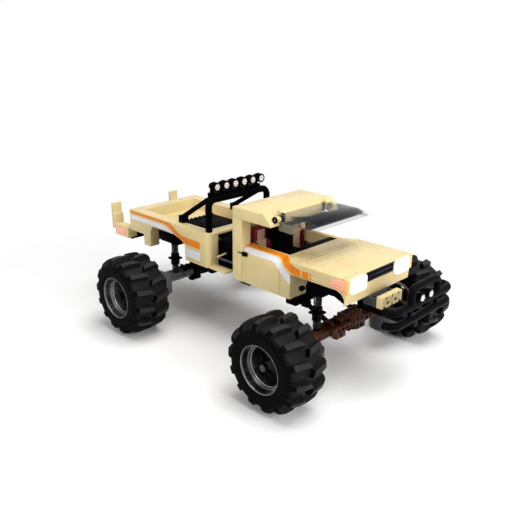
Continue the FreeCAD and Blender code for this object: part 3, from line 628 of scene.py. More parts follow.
def seat_cover(tree, base):
    place = split(tree)
    up = place["Z"]
    off = maths(tree, "ABSOLUTE", maths(tree, "SUBTRACT", maths(tree, "ABSOLUTE", place["Y"]), SEAT_Y))
    bolster = maths(tree, "GREATER_THAN", off, BOLSTER_Y)
    head_side = maths(tree, "GREATER_THAN", off, HEAD_SIDE_Y)
    head_rim = maths(tree, "MAXIMUM", head_side, maths(tree, "GREATER_THAN", up, HEAD_RIM_Z))
    head = both(tree, maths(tree, "GREATER_THAN", up, HEAD_Z), head_rim)
    return mixed(tree, maths(tree, "MAXIMUM", bolster, head), base, (0.13, 0.006, 0.012))


finish["seat_tan"] = plastic("seat_plastic", (0.50, 0.335, 0.225), gloss=0.45, paint=seat_cover)
finish["rear_axle"] = plastic("black_plastic_grey_tubes", BLACK, gloss=0.4, specular=0.04, variation=0.3,
                              paint=tube_ends)
print("finishes", sorted(finish))

# %% [markdown]
# ## Pieces
# Every visible piece is made in the same way: its mesh is shaded smooth with sharp edges kept, it rides on
# the body that carries its solid, and it takes the finish that it is given. Shapes that were spun or joined
# have their faces turned outwards first.

# %% Piece helpers
SHARP_FROM = 35.0


def outward(shape):
    bmesh.ops.recalc_face_normals(shape, faces=shape.faces)
    return shape


def piece(name, shape, material, node, sharp_from=SHARP_FROM):
    mesh = bpy.data.meshes.new(name)
    shape.to_mesh(mesh)
    shape.free()
    mesh.materials.append(material)
    mesh.polygons.foreach_set("use_smooth", [True] * len(mesh.polygons))
    mesh.set_sharp_from_angle(angle=math.radians(sharp_from))
    made = bpy.data.objects.new(name, mesh)
    scene.collection.objects.link(made)
    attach(made, BODY_OF[node])
    return made


print("bodies that carry pieces", len(set(BODY_OF.values())))

# %% [markdown]
# ## Moulded edges
# No moulded edge is sharp: each one has a small radius that catches the light and makes the plastic look
# real. The solid model comes as loose triangles, so a copy is merged, its flat faces are joined, and its
# sharp edges get a small bevel. The copy then stands for the solid piece.

# %% Moulded copies
MERGE_WITHIN = 2e-6
FLAT_WITHIN = math.radians(0.8)
EDGE_FROM = math.radians(32.0)


def moulded(node, material, radius):
    shape = bmesh.new()
    shape.from_mesh(frame["nodes"][node].data)
    bmesh.ops.remove_doubles(shape, verts=shape.verts, dist=MERGE_WITHIN)
    bmesh.ops.dissolve_limit(shape, angle_limit=FLAT_WITHIN, verts=shape.verts, edges=shape.edges)
    outward(shape)
    corners = [e for e in shape.edges if len(e.link_faces) == 2 and e.calc_face_angle(0.0) > EDGE_FROM]
    bmesh.ops.bevel(shape, geom=corners, offset=radius * MM, offset_type="OFFSET", segments=2, profile=0.5,
                    affect="EDGES", material=-1, clamp_overlap=False)
    made = piece(node + "_moulded", shape, material, node)
    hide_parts(node)


OWN_SHAPE = ("tyre_", "rim_", "shock_", "grille")
EDGE_RADIUS = {"roof": 0.7, "hood": 0.5, "bed": 0.45, "door_left": 0.45, "door_right": 0.45, "cab": 0.4}
PLAIN_EDGE = 0.3
STRIPED = ("cab", "hood", "door_left", "door_right", "wing_left", "wing_right")
MATT = ("interior", "battery_box", "chassis", "roll_bar", "lamp_bar", "rear_beam")
COVERS = {"bed": "bed", "rear_axle": "rear_axle"}
COVERS.update(dict.fromkeys(STRIPED, "cab"))
COVERS.update(dict.fromkeys(MATT, "black_matt"))
plain_nodes = [node for node in SLOT_OF if not node.startswith(OWN_SHAPE)]
for node in plain_nodes:
    moulded(node, finish[COVERS.get(node, SLOT_OF[node])], EDGE_RADIUS.get(node, PLAIN_EDGE))
print("moulded pieces", len(plain_nodes))

# %% [markdown]
# ## The lathe
# Tyres, rims, struts, lamps, studs and pins are all round. A lathe makes them: half an outline is drawn in
# a plane through the axis and spun once round it, and the last ring is merged with the first.

# %% Lathe
FULL_TURN = 2 * math.pi


def lathe(shape, outline, centre, axis, steps=64, closed=False):
    # outline points are (radius, distance along the axis) in millimetres
    side = axis.orthogonal().normalized()
    dots = [shape.verts.new(centre + side * (r * MM) + axis * (d * MM)) for r, d in outline]
    lines = [shape.edges.new(pair) for pair in zip(dots, dots[1:])]
    if closed:
        lines.append(shape.edges.new((dots[-1], dots[0])))
    bmesh.ops.spin(shape, geom=dots + lines, cent=centre, axis=axis, angle=FULL_TURN, steps=steps,
                   use_merge=True)
    bmesh.ops.remove_doubles(shape, verts=shape.verts, dist=1e-7)


def out_from(centre):
    # the way out of the truck at a wheel
    return Vector((0, 1 if centre.y > 0 else -1, 0))


print("lathe ready")

# %% [markdown]
# ## Tyres
# A crawler tyre is a wide soft ring with tall lugs in a herringbone. One lug starts as a block that is cut
# across in a few places. Each cut has its own radius and width, so the lug bends over the shoulder of the
# tyre and turns a little as it goes.

# %% One lug
LUG_STATIONS = [
    # distance out, top radius, base radius, distance of the base, half width on top
    (1.5, 54.1, 46.5, 0.6, 3.1),
    (9.0, 54.35, 46.5, 9.0, 3.1),
    (18.5, 53.6, 46.0, 18.5, 3.2),
    (24.0, 51.4, 44.5, 22.5, 3.3),
    (27.3, 47.2, 42.5, 25.0, 3.6),
    (27.9, 42.6, 41.0, 25.8, 4.0),
]
LUG_TURN = math.radians(4.5)
LUG_SKEW = -2.2
BASE_SPREAD = 1.3
TREAD_HALF = 28
PAINTED_HIGHLIGHT_FROM = 50.5


def one_lug(shape, centre, out, row, phase):
    known = len(shape.verts)
    block_verts = bmesh.ops.create_cube(shape, size=1.0)["verts"]
    block_edges = {e for v in block_verts for e in v.link_edges}
    long_edges = [e for e in block_edges if abs((e.verts[0].co - e.verts[1].co).x) > 0.5]
    bmesh.ops.subdivide_edges(shape, edges=long_edges, cuts=len(LUG_STATIONS) - 2)
    shape.verts.ensure_lookup_table()
    lug = shape.verts[known:]
    for vert in lug:
        number = round((vert.co.x + 0.5) * (len(LUG_STATIONS) - 1))
        top_out, top_r, base_r, base_out, half_width = LUG_STATIONS[number]
        top = vert.co.z > 0
        skew = LUG_SKEW * 2 * vert.co.y if number == 0 else 0.0
        distance = (top_out if top else base_out) + skew
        r = top_r if top else base_r
        width = half_width * (1.0 if top else BASE_SPREAD)
        angle = phase - LUG_TURN * max(distance, 0.0) / TREAD_HALF + 2 * vert.co.y * width / r
        spoke = Vector((math.sin(angle), 0, math.cos(angle)))
        vert.co = centre + out * (row * distance * MM) + spoke * (r * MM)
    for face in {f for v in lug for f in v.link_faces}:
        radii = [math.hypot(v.co.x - centre.x, v.co.z - centre.z) / MM for v in face.verts]
        # faces far out from the axis are lug tops and take the painted highlight
        face.material_index = 1 if min(radii) > PAINTED_HIGHLIGHT_FROM else 0


print("cuts in a lug", len(LUG_STATIONS) - 2)

# %% [markdown]
# The ring of the tyre is a lathe job, and the lug is repeated in two staggered rows. The tyre is made for
# each wheel on its own axis and never mirrored, so that both herringbones point the same way.

# %% Tyre ring and lugs
LUGS = 14
FIRST_LUG = math.radians(20.5)
CARCASS = [(28.4, 25.8), (29.2, 27.3), (31.5, 28), (38, 28), (42.0, 27.6), (42.8, 26.9), (43.6, 26.9),
           (45.2, 25.0), (46.4, 22), (47.2, 16), (47.6, 8), (47.7, 0)]


def tyre(name, node):
    centre = middle_of(node)
    out = out_from(centre)
    shape = bmesh.new()
    outline = CARCASS + [(r, -d) for r, d in reversed(CARCASS[:-1])]
    lathe(shape, outline, centre, out, steps=84, closed=True)
    for i in range(LUGS):
        phase = 2 * math.pi * i / LUGS + FIRST_LUG
        one_lug(shape, centre, out, 1, phase)
        one_lug(shape, centre, out, -1, phase + math.pi / LUGS)
    made = piece(name, outward(shape), finish["rubber"], node, sharp_from=28.0)
    made.data.materials.append(finish["tread_top"])
    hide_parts(node)


for corner in CORNERS:
    tyre("lugged_tyre_" + corner, "tyre_" + corner)
print("lugs on each tyre", 2 * LUGS)

# %% [markdown]
# ## Rims
# The rim of a crawler wheel is a deep dish: a barrel with a raised lip, a step half way in, and a thin web
# with six round holes and a tube for the axle. The web is a flat face between circles, which a fill
# operator closes and an extrusion thickens.

# %% Rim web
WEB_HOLES = 6
WEB_R, BORE_R = 22.0, 4.0
HOLE_RING, HOLE_R = 14.5, 4.4
WEB_FRONT, WEB_THICK = 2, 4


def web_disc(shape, centre, out):
    flat = out.to_track_quat("Z", "Y").to_matrix().to_4x4()
    front = Matrix.Translation(centre + out * WEB_FRONT * MM) @ flat
    circles = [(0, 0, WEB_R, 64), (0, 0, BORE_R, 24)] + [(i, HOLE_RING, HOLE_R, 20) for i in range(WEB_HOLES)]
    edges = set()
    for number, ring, radius, steps in circles:
        angle = 2 * math.pi * number / WEB_HOLES
        at = Matrix.Translation((ring * MM * math.cos(angle), ring * MM * math.sin(angle), 0))
        circle = bmesh.ops.create_circle(shape, cap_ends=False, segments=steps, radius=radius * MM,
                                         matrix=front @ at)
        edges |= {e for v in circle["verts"] for e in v.link_edges}
    filled = bmesh.ops.triangle_fill(shape, edges=list(edges), use_beauty=True, use_dissolve=False,
                                     normal=out)
    faces = [g for g in filled["geom"] if isinstance(g, bmesh.types.BMFace)]
    pushed = bmesh.ops.extrude_face_region(shape, geom=faces, use_keep_orig=True)
    verts = [g for g in pushed["geom"] if isinstance(g, bmesh.types.BMVert)]
    bmesh.ops.translate(shape, verts=verts, vec=-out * WEB_THICK * MM)


print("holes in each web", WEB_HOLES)

# %% [markdown]
# The barrel, the tube and the boss behind the web are lathe work. The inside of the barrel gets the brighter
# coat as a painted highlight, which is chosen face by face from its depth and from the way that it looks.

# %% Rim barrel and hub
BARREL = [(24.5, -27.0), (25.3, -28), (28.0, -28), (28.5, -27.5), (28.5, 27.0), (28.3, 27.7), (27.8, 27.9),
          (27.3, 27.5), (26.9, 26.0), (26.5, 22.0), (26.2, 19.2), (25.8, 18.4), (24.6, 18.2), (24.2, 17.6),
          (24.2, 16.4), (23.8, 15.9), (22.9, 15.7), (22.5, 15.0), (22.5, 3.5), (22.0, 2.0), (21.0, 2.0),
          (21.0, -2.0), (24.5, -2.0)]
TUBE = [(2.4, 1.5), (6.6, 1.5), (3.6, 4.5), (3.3, 16.5), (4.3, 17.0), (4.6, 17.5), (4.6, 20.6), (4.0, 21.4),
        (3.0, 21.4), (2.7, 20.8), (2.4, 19.0)]
BOSS = [(2.4, -2.0), (9.0, -2.0), (9.0, -13.5), (2.4, -13.5)]
BRIGHT_FROM, BRIGHT_TO = 2.5, 26.5


def rim(name, corner):
    node = "rim_" + corner
    centre = middle_of("tyre_" + corner)
    out = out_from(centre)
    shape = bmesh.new()
    lathe(shape, BARREL, centre, out, steps=72, closed=True)
    outward(shape)
    for face in shape.faces:
        depth = (face.calc_center_median() - centre).dot(out) / MM
        inside = BRIGHT_FROM < depth < BRIGHT_TO and face.normal.dot(out) < 0.9
        face.material_index = 1 if inside else 0
    made = piece(name, shape, finish["dark_chrome"], node, sharp_from=40.0)
    made.data.materials.append(finish["barrel_chrome_painted_highlight"])
    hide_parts(node)
    shape = bmesh.new()
    for outline in (TUBE, BOSS):
        lathe(shape, outline, centre, out, steps=40, closed=True)
    web_disc(shape, centre, out)
    piece(name + "_web", outward(shape), finish["black_gloss"], node, sharp_from=40.0)


for corner in CORNERS:
    rim("dished_rim_" + corner, corner)
print("rims", len(CORNERS))

# %% [markdown]
# ## Coils and blocks
# A coil is a small ring that is spun round the strut while it climbs, as a screw is, and its two ends are
# closed. Square parts are blocks between two corners, with a small bevel on every edge.

# %% Coil and block
def coil(shape, at, radius, wire, bottom, top, turns):
    start = at + Vector((radius * MM, 0, bottom * MM))
    upright = Matrix.Translation(start) @ Matrix.Rotation(math.pi / 2, 4, "X")
    circle = bmesh.ops.create_circle(shape, cap_ends=True, segments=6, radius=wire * MM, matrix=upright)
    ring = circle["verts"]
    edges = list({e for v in ring for e in v.link_edges})
    steps = 14 * turns
    climb = Vector((0, 0, (top - bottom) * MM / steps))
    spun = bmesh.ops.spin(shape, geom=ring + edges, cent=at, axis=(0, 0, 1), angle=FULL_TURN * turns,
                          steps=steps, dvec=climb, use_merge=False)
    last = [g for g in spun["geom_last"] if isinstance(g, bmesh.types.BMEdge)]
    bmesh.ops.contextual_create(shape, geom=last)


def plain_block(shape, low, high):
    size = Matrix.Diagonal((*(high - low), 1.0))
    return bmesh.ops.create_cube(shape, size=1.0, matrix=Matrix.Translation((low + high) / 2) @ size)["verts"]


def block(shape, low, high, bevel_by=0.4):
    # corners in millimetres from the middle
    made = plain_block(shape, mm(*low), mm(*high))
    edges = list({e for v in made for e in v.link_edges})
    bmesh.ops.bevel(shape, geom=edges, offset=bevel_by * MM, offset_type="OFFSET", segments=2, profile=0.5,
                    affect="EDGES", material=-1, clamp_overlap=True)


print("coil and block ready")

# %% [markdown]
# ## Coil-over shocks
# Each corner has a slim strut with a square plate in the middle. One coil spring sits above the plate and
# another below it. The strut stands on a foot and ends in a cap, and its lower half is a wider barrel.

# %% Springs and struts
UP = Vector((0, 0, 1))
PLATE_UP = 20.7
COIL_R, WIRE_R = 4.3, 0.75
BLOCK_BEVEL = 0.5


def shock(corner):
    node = "shock_" + corner
    low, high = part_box(node)
    at = Vector(((low.x + high.x) / 2, (low.y + high.y) / 2, 0))
    x, y = (at.x - MIDDLE) / MM, at.y / MM
    foot_z, cap_z = low.z / MM, high.z / MM
    plate = foot_z + PLATE_UP
    shape = bmesh.new()
    lathe(shape, [(0, foot_z), (2.4, foot_z), (2.4, cap_z), (0, cap_z)], at, UP, steps=28)
    piece("rod_" + corner, outward(shape), finish["dark_grey"], node)
    foot = [(2.3, foot_z), (4.4, foot_z), (4.4, foot_z + 1.6), (2.3, foot_z + 1.6)]
    cap = [(2.3, cap_z - 2.4), (5.2, cap_z - 2.4), (5.6, cap_z - 1.8), (5.6, cap_z), (2.3, cap_z)]
    barrel = [(2.3, foot_z + 12.0), (4.6, foot_z + 12.0), (5.0, foot_z + 12.6), (5.0, foot_z + 20),
              (2.3, foot_z + 20)]
    shape = bmesh.new()
    for outline in (foot, cap, barrel):
        lathe(shape, outline, at, UP, steps=28, closed=True)
    block(shape, (x - 7.4, y - 7.4, plate), (x + 7.4, y + 7.4, plate + 2.5), BLOCK_BEVEL)
    block(shape, (x - 4.8, y - 4.0, plate + 2.4), (x + 4.8, y + 4.0, plate + 9.0), BLOCK_BEVEL)
    block(shape, (x - 4.0, y - 5.0, plate - 8.5), (x + 4.0, y + 5.0, plate + 0.1), BLOCK_BEVEL)
    strut = piece("strut_" + corner, outward(shape), finish["black"], node)
    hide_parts(node)
    shape = bmesh.new()
    coil(shape, at, COIL_R, WIRE_R, plate + 9.6, cap_z - 3.0, 6)
    coil(shape, at, COIL_R, WIRE_R, foot_z + 2.2, plate - 9.0, 5)
    piece("spring_" + corner, outward(shape), finish["spring"], node, sharp_from=60.0)


for corner in CORNERS:
    shock(corner)
print("springs", 2 * len(CORNERS))

# %% [markdown]
# ## Roof lamps and bumper lamps
# The six lamps on the roll bar and the two on the bumper are black cups with a bright face: a dark rim, a
# mirror ring and a cluster of seven small bulbs. A lathe makes the rim and the mirror, and each bulb is a
# little dome that is spun too.

# %% One lamp face
AHEAD = Vector((1, 0, 0))
CUP_FLARE = 0.2
BULBS = 7
DOME_STEPS = (0, math.pi / 6, math.pi / 3, math.pi / 2)


def lamp_face(name, at, radius, node):
    cup = [(radius * 0.9, -1.4), (radius * 0.9, 0.1), (radius * 0.96, 0.4), (radius, 0.1),
           (radius + CUP_FLARE, -1.4)]
    shape = bmesh.new()
    lathe(shape, cup, at, AHEAD, steps=32, closed=True)
    piece(name + "_rim", outward(shape), finish["black"], node)
    edge = radius * 0.91
    dish = [(edge, -0.05), (radius * 0.72, 0.0), (radius * 0.66, 0.1), (0, 0.12), (0, -0.6), (edge, -0.6)]
    shape = bmesh.new()
    lathe(shape, dish, at, AHEAD, steps=32)
    piece(name + "_mirror", outward(shape), finish["mirror"], node)
    bulb_r, bulb_high, ring = radius * 0.17, radius * 0.15, radius * 0.44
    dome = [(bulb_r * math.cos(t), 0.1 + bulb_high * math.sin(t)) for t in DOME_STEPS]
    shape = bmesh.new()
    for i in range(BULBS):
        angle = math.pi * i / 3
        # the last bulb sits in the middle of the ring
        off = Vector((0, math.cos(angle), math.sin(angle))) * (ring * MM * (i < BULBS - 1))
        lathe(shape, dome + [(0, 0), (bulb_r, 0)], at + off, AHEAD, steps=12)
    piece(name + "_bulbs", outward(shape), finish["bulb"], node)


print("bulbs in a lamp", BULBS)

# %% [markdown]
# The roof lamps stand in an even row along their bar, from one end to the other, with their faces level
# with its front. The bumper lamps stand side by side between the hoops of the guard.

# %% Rows of lamps
ROOF_LAMPS, ROOF_LAMP_R = 6, 6.2
BUMPER_LAMP_X, BUMPER_LAMP_Y, BUMPER_LAMP_Z, BUMPER_LAMP_R = 237.0, 8.8, 123.4, 5.8
bar_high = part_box("lamp_bar")[1]
for i in range(ROOF_LAMPS):
    across = (i / (ROOF_LAMPS - 1) * 2 - 1) * (bar_high.y - ROOF_LAMP_R * MM)
    at = Vector((bar_high.x, across, bar_high.z - (ROOF_LAMP_R + CUP_FLARE) * MM))
    lamp_face("roof_lamp_%d" % i, at, ROOF_LAMP_R, "lamp_bar")
for side, way in SIDES:
    at = mm(BUMPER_LAMP_X, way * BUMPER_LAMP_Y, BUMPER_LAMP_Z)
    lamp_face("bumper_lamp_" + side, at, BUMPER_LAMP_R, "front_bumper")
print("round lamps", ROOF_LAMPS + len(SIDES))

# %% [markdown]
# ## Grille
# The opening between the headlights is closed by a glossy black bar with ribs. It is a block whose front
# is cut into strips, and every second strip is pushed back.

# %% Grille bar
GRILLE_HALF = 27.6
STRIPS = 5
STRIP_INSET, STRIP_BACK = 0.35, 1.6
nose_x = ahead("nose_panel", 1)
low, high = mm(nose_x - 10, -GRILLE_HALF, BELT - 14.0), mm(nose_x - 1.4, GRILLE_HALF, BELT - 1.4)
shape = bmesh.new()
plain_block(shape, low, high)
for k in range(1, STRIPS):
    height = low.z + (high.z - low.z) * k / STRIPS
    everything = shape.verts[:] + shape.edges[:] + shape.faces[:]
    bmesh.ops.bisect_plane(shape, geom=everything, plane_co=(0, 0, height), plane_no=(0, 0, 1))
strips = sorted((f for f in shape.faces if f.normal.x > 0.9), key=lambda f: f.calc_center_median().z)
for strip in strips[1::2]:
    bmesh.ops.inset_individual(shape, faces=[strip], thickness=STRIP_INSET * MM, depth=0.0)
    bmesh.ops.translate(shape, verts=strip.verts[:], vec=(-STRIP_BACK * MM, 0, 0))
made = piece("grille_bar", outward(shape), finish["navy_gloss"], "grille")
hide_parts("grille")
print("grille strips", len(strips))

# %% [markdown]
# ## Bonnet vents
# Two low louvre plates lie on the bonnet, one on each side, with five even slots in each. A plate starts as a
# grid, every third row of faces is inset and pushed down as a slot, and the rim is pulled down to the bonnet.
# The slots are painted a darker tan, which is painted shade in the recess.

# %% Vent plates
VENT_AHEAD, VENT_Y = 101.4, 33.0
VENT_LONG, VENT_WIDE, VENT_CELL = 16.0, 32.0, 2.0
VENT_RISE, VENT_SKIRT = 0.45, 0.6
SLOT_EVERY, SLOT_INSET, SLOT_DEPTH = 3, 0.25, 0.4


def vent(name, middle_y):
    centre = mm(VENT_AHEAD, middle_y, BELT + VENT_RISE)
    plate = Matrix.Translation(centre) @ Matrix.Diagonal((VENT_LONG * MM, VENT_WIDE * MM, 1.0, 1.0))
    rows, columns = round(VENT_WIDE / VENT_CELL), round(VENT_LONG / VENT_CELL)
    shape = bmesh.new()
    bmesh.ops.create_grid(shape, x_segments=columns, y_segments=rows, size=0.5, matrix=plate)
    slots = []
    for face in shape.faces:
        off = face.calc_center_median() - centre
        row = int((off.y / MM + VENT_WIDE / 2) // VENT_CELL)
        if row % SLOT_EVERY == 1 and abs(off.x) < (VENT_LONG / 2 - VENT_CELL) * MM:
            # slot faces take the darker tan as painted shade
            face.material_index = 1
            slots.append(face)
    bmesh.ops.inset_region(shape, faces=slots, thickness=SLOT_INSET * MM, depth=-SLOT_DEPTH * MM,
                           use_even_offset=True)
    border = [e for e in shape.edges if e.is_boundary]
    skirt = bmesh.ops.extrude_edge_only(shape, edges=border)["geom"]
    verts = [g for g in skirt if isinstance(g, bmesh.types.BMVert)]
    bmesh.ops.translate(shape, verts=verts, vec=(0, 0, -VENT_SKIRT * MM))
    bmesh.ops.holes_fill(shape, edges=[e for e in shape.edges if e.is_boundary], sides=0)
    made = piece(name, outward(shape), finish["tan"], "hood")
    made.data.materials.append(finish["tan_painted_shade"])


for side, way in SIDES:
    vent("bonnet_vent_" + side, way * VENT_Y)
print("slots in a vent", len(range(1, round(VENT_WIDE / VENT_CELL), SLOT_EVERY)))

# %% [markdown]
# ## Studs and pin heads
# Brick-built axles and covers show rows of round studs and pin heads on an eight millimetre grid. Each is a
# short turned knob, and all the knobs of a kind on one solid are one piece.

# %% Knobs
def knobs(name, places, axis, material, node, radius=2.4, height=1.7):
    outline = [(radius, -0.3), (radius, height - 0.3), (radius - 0.3, height), (0, height)]
    shape = bmesh.new()
    for at in places:
        lathe(shape, outline, mm(*at), axis, steps=16)
    piece(name, outward(shape), material, node)


lid_top = round(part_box("battery_box")[1].z / MM, 1)
print("battery lid at", lid_top)

# %% [markdown]
# An axle has two rows of studs along its beams, six more on the gear housing, round wells between the rows,
# and pin heads on its front faces. The wells are thin black discs on the beam, painted shade for the inside
# of round holes. Thin ribs stand up from the beams, and shorter ones sit lower down.

# %% Axle details
BEAM_TOP, GEAR_TOP = 66.4, 72.4
RIB_HALF = 6.5
RIB_FOOT = 66.2
RIBS_UP = ((-24.0, -21.0, 72.6), (-17.0, -12.2, 74.4), (12.2, 18.0, 75.6), (22.0, 25.0, 71.4),
           (33.0, 36.0, 72.4), (-42.0, -39.0, 71.8))
RIBS_DOWN = ((-33.0, -30.0), (28.0, 31.0), (36.0, 44.0))
RIB_LOW, RIB_HIGH = 54.6, 58.6


def dress_axle(end):
    node = end + "_axle"
    cover = finish[SLOT_OF[node]]
    x = (middle_of("tyre_%s_right" % end).x - MIDDLE) / MM
    studs = [(x + dx, s * y, BEAM_TOP) for dx in (-8, 8) for s in (-1, 1) for y in (20, 28, 36, 44)]
    knobs(node + "_studs", studs, UP, cover, node)
    gear = [(x + dx, y, GEAR_TOP) for dx in (-4, 4) for y in (-8, 0, 8)]
    knobs(node + "_gear_studs", gear, UP, cover, node)
    pins = [(x + 4.0, s * y, z) for s in (-1, 1) for y, z in ((17, 54), (24, 54), (20.5, 49))]
    pins += [(x + 8.0, s * y, 62.4) for s in (-1, 1) for y in (16, 24, 32, 40)]
    pins += [(x + 12.8, y, z) for y in (-8, 0, 8) for z in (57, 66)]
    knobs(node + "_pins", pins, AHEAD, finish["black"], node, 2.3, 0.7)
    # black discs: painted shade of round holes in the beam
    hole_painted_shade_discs = [(x + dx, s * y, BEAM_TOP) for dx in (-4, 4) for s in (-1, 1) for y in (24, 32, 40)]
    knobs(node + "_wells", hole_painted_shade_discs, UP, finish["black"], node, 2.4, 0.6)
    shape = bmesh.new()
    for y0, y1, z1 in RIBS_UP:
        block(shape, (x - RIB_HALF, y0, RIB_FOOT), (x + RIB_HALF, y1, z1))
    for y0, y1 in RIBS_DOWN:
        block(shape, (x - RIB_HALF, y0, RIB_LOW), (x + RIB_HALF, y1, RIB_HIGH))
    piece(node + "_ribs", shape, cover, node)
    print(node, "studs", len(studs) + len(gear), "pin heads", len(pins))


for end in ENDS:
    dress_axle(end)

# %% [markdown]
# The lid of the battery box, which is the black platform in the bed, has a row of seven studs in front and
# another behind.

# %% Battery lid studs
LID_ROWS = (-72.0, -144.0)
lid = [(x, y, lid_top) for x in LID_ROWS for y in range(-24, 25, 8)]
knobs("battery_lid_studs", lid, UP, finish["black_matt"], "battery_box")
print("studs on the lid", len(lid))

# %% [markdown]
# ## Winch and fairlead
# The winch carries a turned drum with wound cable. The outline of the cable is a zigzag, so one spin gives
# all its wraps. The fairlead in front of it has two dark eyes, which are shallow turned cups.

# %% Winch cable and fairlead eyes
ACROSS = Vector((0, 1, 0))
WRAPS, WRAP_STEP, WRAP_R, WRAP_DEPTH = 41, 0.75, 4.6, 0.45
EYE_Y = 8.0
winch_low, winch_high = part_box("winch")
drum_at = Vector((winch_high.x - 6 * MM, 0, (winch_low.z + winch_high.z) / 2 - 0.4 * MM))
zigzag = [(WRAP_R + WRAP_DEPTH * (i % 2), -15.0 + i * WRAP_STEP) for i in range(WRAPS)]
shape = bmesh.new()
lathe(shape, [(0, -15.6), (4.5, -15.6)] + zigzag + [(4.5, 15.6), (0, 15.6)], drum_at, ACROSS, steps=28)
piece("winch_cable", outward(shape), finish["dark_grey"], "winch")
lead_low, lead_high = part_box("fairlead")
shape = bmesh.new()
for way in (-1, 1):
    at = Vector((lead_high.x - 1.2 * MM, way * EYE_Y * MM, lead_low.z + 5 * MM))
    lathe(shape, [(2.45, -3), (2.45, 0.0), (0, 0.0), (0, -3)], at, AHEAD, steps=20)
piece("fairlead_eyes", outward(shape), finish["black"], "fairlead")
print("cable wraps", WRAPS // 2)

# %% [markdown]
# Two flanges keep the cable on the drum, and four small teeth stand along the winch. The fairlead has six
# narrow notches along its edges, drawn as thin dark blocks that stand a quarter of a millimetre proud, which
# is painted shade for the inside of the notches.

# %% Winch flanges and fairlead notches
FLANGE = [(2.0, 0), (6.4, 0), (6.8, 0.4), (6.8, 1.0), (6.4, 1.4), (2.0, 1.4)]
TEETH = (-14.0, -6.0, 2.0, 10.0)
NOTCHES = ((-0.9, 99.6, 103.6), (14.6, 99.6, 102.0), (-16.4, 99.6, 102.0), (-0.9, 110.0, 112.8),
           (11.0, 110.0, 112.8), (-12.8, 110.0, 112.8))
NOTCH_WIDE, NOTCH_PROUD, NOTCH_BEVEL = 1.8, 0.25, 0.2
shape = bmesh.new()
for y in (-16.6, 15.2):
    lathe(shape, FLANGE, drum_at + Vector((0, y * MM, 0)), ACROSS, steps=28, closed=True)
for y in TEETH:
    block(shape, (168.6, y, 109.8), (173.0, y + 4.5, 112.4))
piece("winch_flanges", outward(shape), finish["navy"], "winch")
lead_x = ahead("fairlead", 1)
shape = bmesh.new()
# dark blocks: painted shade of the notches
for y, z0, z1 in NOTCHES:
    block(shape, (lead_x - 2.0, y, z0), (lead_x + NOTCH_PROUD, y + NOTCH_WIDE, z1), NOTCH_BEVEL)
piece("fairlead_notch_painted_shade", shape, finish["black"], "fairlead")
print("teeth", len(TEETH), "notches", len(NOTCHES))

# %% [markdown]
# ## Clips round the screen hinge
# The visor holds the windscreen with black clips: two turned collars at the right end of the hinge, two
# upright cheeks, and a bar that joins the cheeks. The bar is partly the screen's lower flange and partly a
# dark strip of painted shade under the front edge of the visor. They stay with the visor while the screen
# swings.

# %% Hinge clips
COLLAR = [(2.0, 0), (3.9, 0), (4.1, 0.2), (4.1, 1.4), (3.9, 1.6), (2.0, 1.6)]
CLIP_Y, CLIP_HALF, CLIP_BEVEL = 37.6, 0.7, 0.3
FLANGE_AND_SHADE_BAR_HALF = 43.5
hinge_x, hinge_z = ahead("windscreen", 0) + 3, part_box("visor")[1].z / MM - 6.4
shape = bmesh.new()
for y in (-57.0, -47.6):
    lathe(shape, COLLAR, mm(hinge_x, y, hinge_z), ACROSS, steps=28, closed=True)
for side, way in SIDES:
    y = way * CLIP_Y
    low, high = (hinge_x - 6.5, y - CLIP_HALF, hinge_z - 7.0), (hinge_x - 0.6, y + CLIP_HALF, hinge_z + 4.6)
    block(shape, low, high, CLIP_BEVEL)
# joining bar: partly the screen's lower flange, partly painted shade under the visor
block(shape, (hinge_x - 4.2, -FLANGE_AND_SHADE_BAR_HALF, hinge_z - 12.6), (hinge_x + 0.6, FLANGE_AND_SHADE_BAR_HALF, hinge_z - 8.6))
piece("hinge_clips", outward(shape), finish["black"], "visor")
print("hinge at", round(hinge_x, 1), round(hinge_z, 1))

# %% [markdown]
# ## Latch pins and tower pins
# A thin pin runs behind each door handle, with a round cap beside it, and both ride with the door. A larger
# pin with a collar closes the end of each front spring tower.

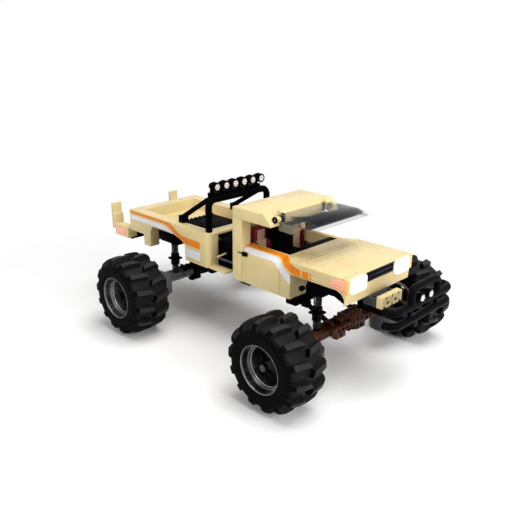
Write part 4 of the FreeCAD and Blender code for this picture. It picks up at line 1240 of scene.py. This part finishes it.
# %% Pins
LATCH_PIN = [(0, 0.5), (0.7, 0.3), (0.7, -6.0), (0.5, -6.4), (0, -6.4)]
LATCH_CAP = [(0, -3.0), (2.6, -3.0), (3.0, -2.6), (3.0, -0.6), (2.6, -0.2), (0, -0.2)]
LATCH_IN, CAP_AHEAD = 1.4, 4.5
TOWER_PIN = [(0, -1.5), (3.0, -1.5), (3.0, 1.6), (3.4, 1.8), (3.4, 3.0), (3.0, 3.4), (1.4, 3.4), (1.2, 2.4),
             (0, 2.4)]
TOWER_X, TOWER_Y, TOWER_Z = 115.3, 66.0, 116.2
for side, way in SIDES:
    node = "door_handle_" + side
    low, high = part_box(node)
    outer = low.y if way < 0 else high.y
    at = Vector((low.x, outer - way * LATCH_IN * MM, (low.z + high.z) / 2))
    cap_at = at + Vector((CAP_AHEAD * MM, way * LATCH_IN * MM, 0))
    shape = bmesh.new()
    lathe(shape, LATCH_PIN, at, AHEAD, steps=12)
    lathe(shape, LATCH_CAP, cap_at, ACROSS * way, steps=20)
    piece("latch_pin_" + side, outward(shape), finish["black"], node)
shape = bmesh.new()
for side, way in SIDES:
    lathe(shape, TOWER_PIN, mm(TOWER_X, way * TOWER_Y, TOWER_Z), ACROSS * way, steps=24)
piece("tower_pins", outward(shape), finish["black"], "chassis")
print("latch pins", len(SIDES), "tower pins", len(SIDES))

# %% [markdown]
# ## Rods and plates behind the cab
# The gap between the cab and the bed shows parts of the build: on each side a long rod, a short thin one that
# reaches inwards, and a flat tan plate below. Rods are turned, and plates are blocks.

# %% Rods and plates in the gap
ROD_LONG, ROD_SHORT = 34.4, 20.0
PLATE_Y, PLATE_HALF = 56, 7
shape = bmesh.new()
for side, way in SIDES:
    rod_at = mm(-52.0, way * 49.5, 107.5)
    lathe(shape, [(0, -1.0), (1.5, -1.0), (1.5, ROD_LONG), (0, ROD_LONG)], rod_at, AHEAD, steps=16)
piece("gap_rods", outward(shape), finish["blue_grey"], "chassis")
shape = bmesh.new()
for side, way in SIDES:
    inwards = Vector((0, -way, 0.1)).normalized()
    rod_at = mm(-39.0, way * 60.0, 113.2)
    lathe(shape, [(0, 0), (1.2, 0), (1.2, ROD_SHORT), (0, ROD_SHORT)], rod_at, inwards, steps=16)
    y = way * PLATE_Y
    block(shape, (-53.0, y - PLATE_HALF, 94.6), (-20.0, y + PLATE_HALF, 97.6))
piece("gap_plates", outward(shape), finish["tan"], "bed")
print("rods", 2 * len(SIDES), "plates", len(SIDES))
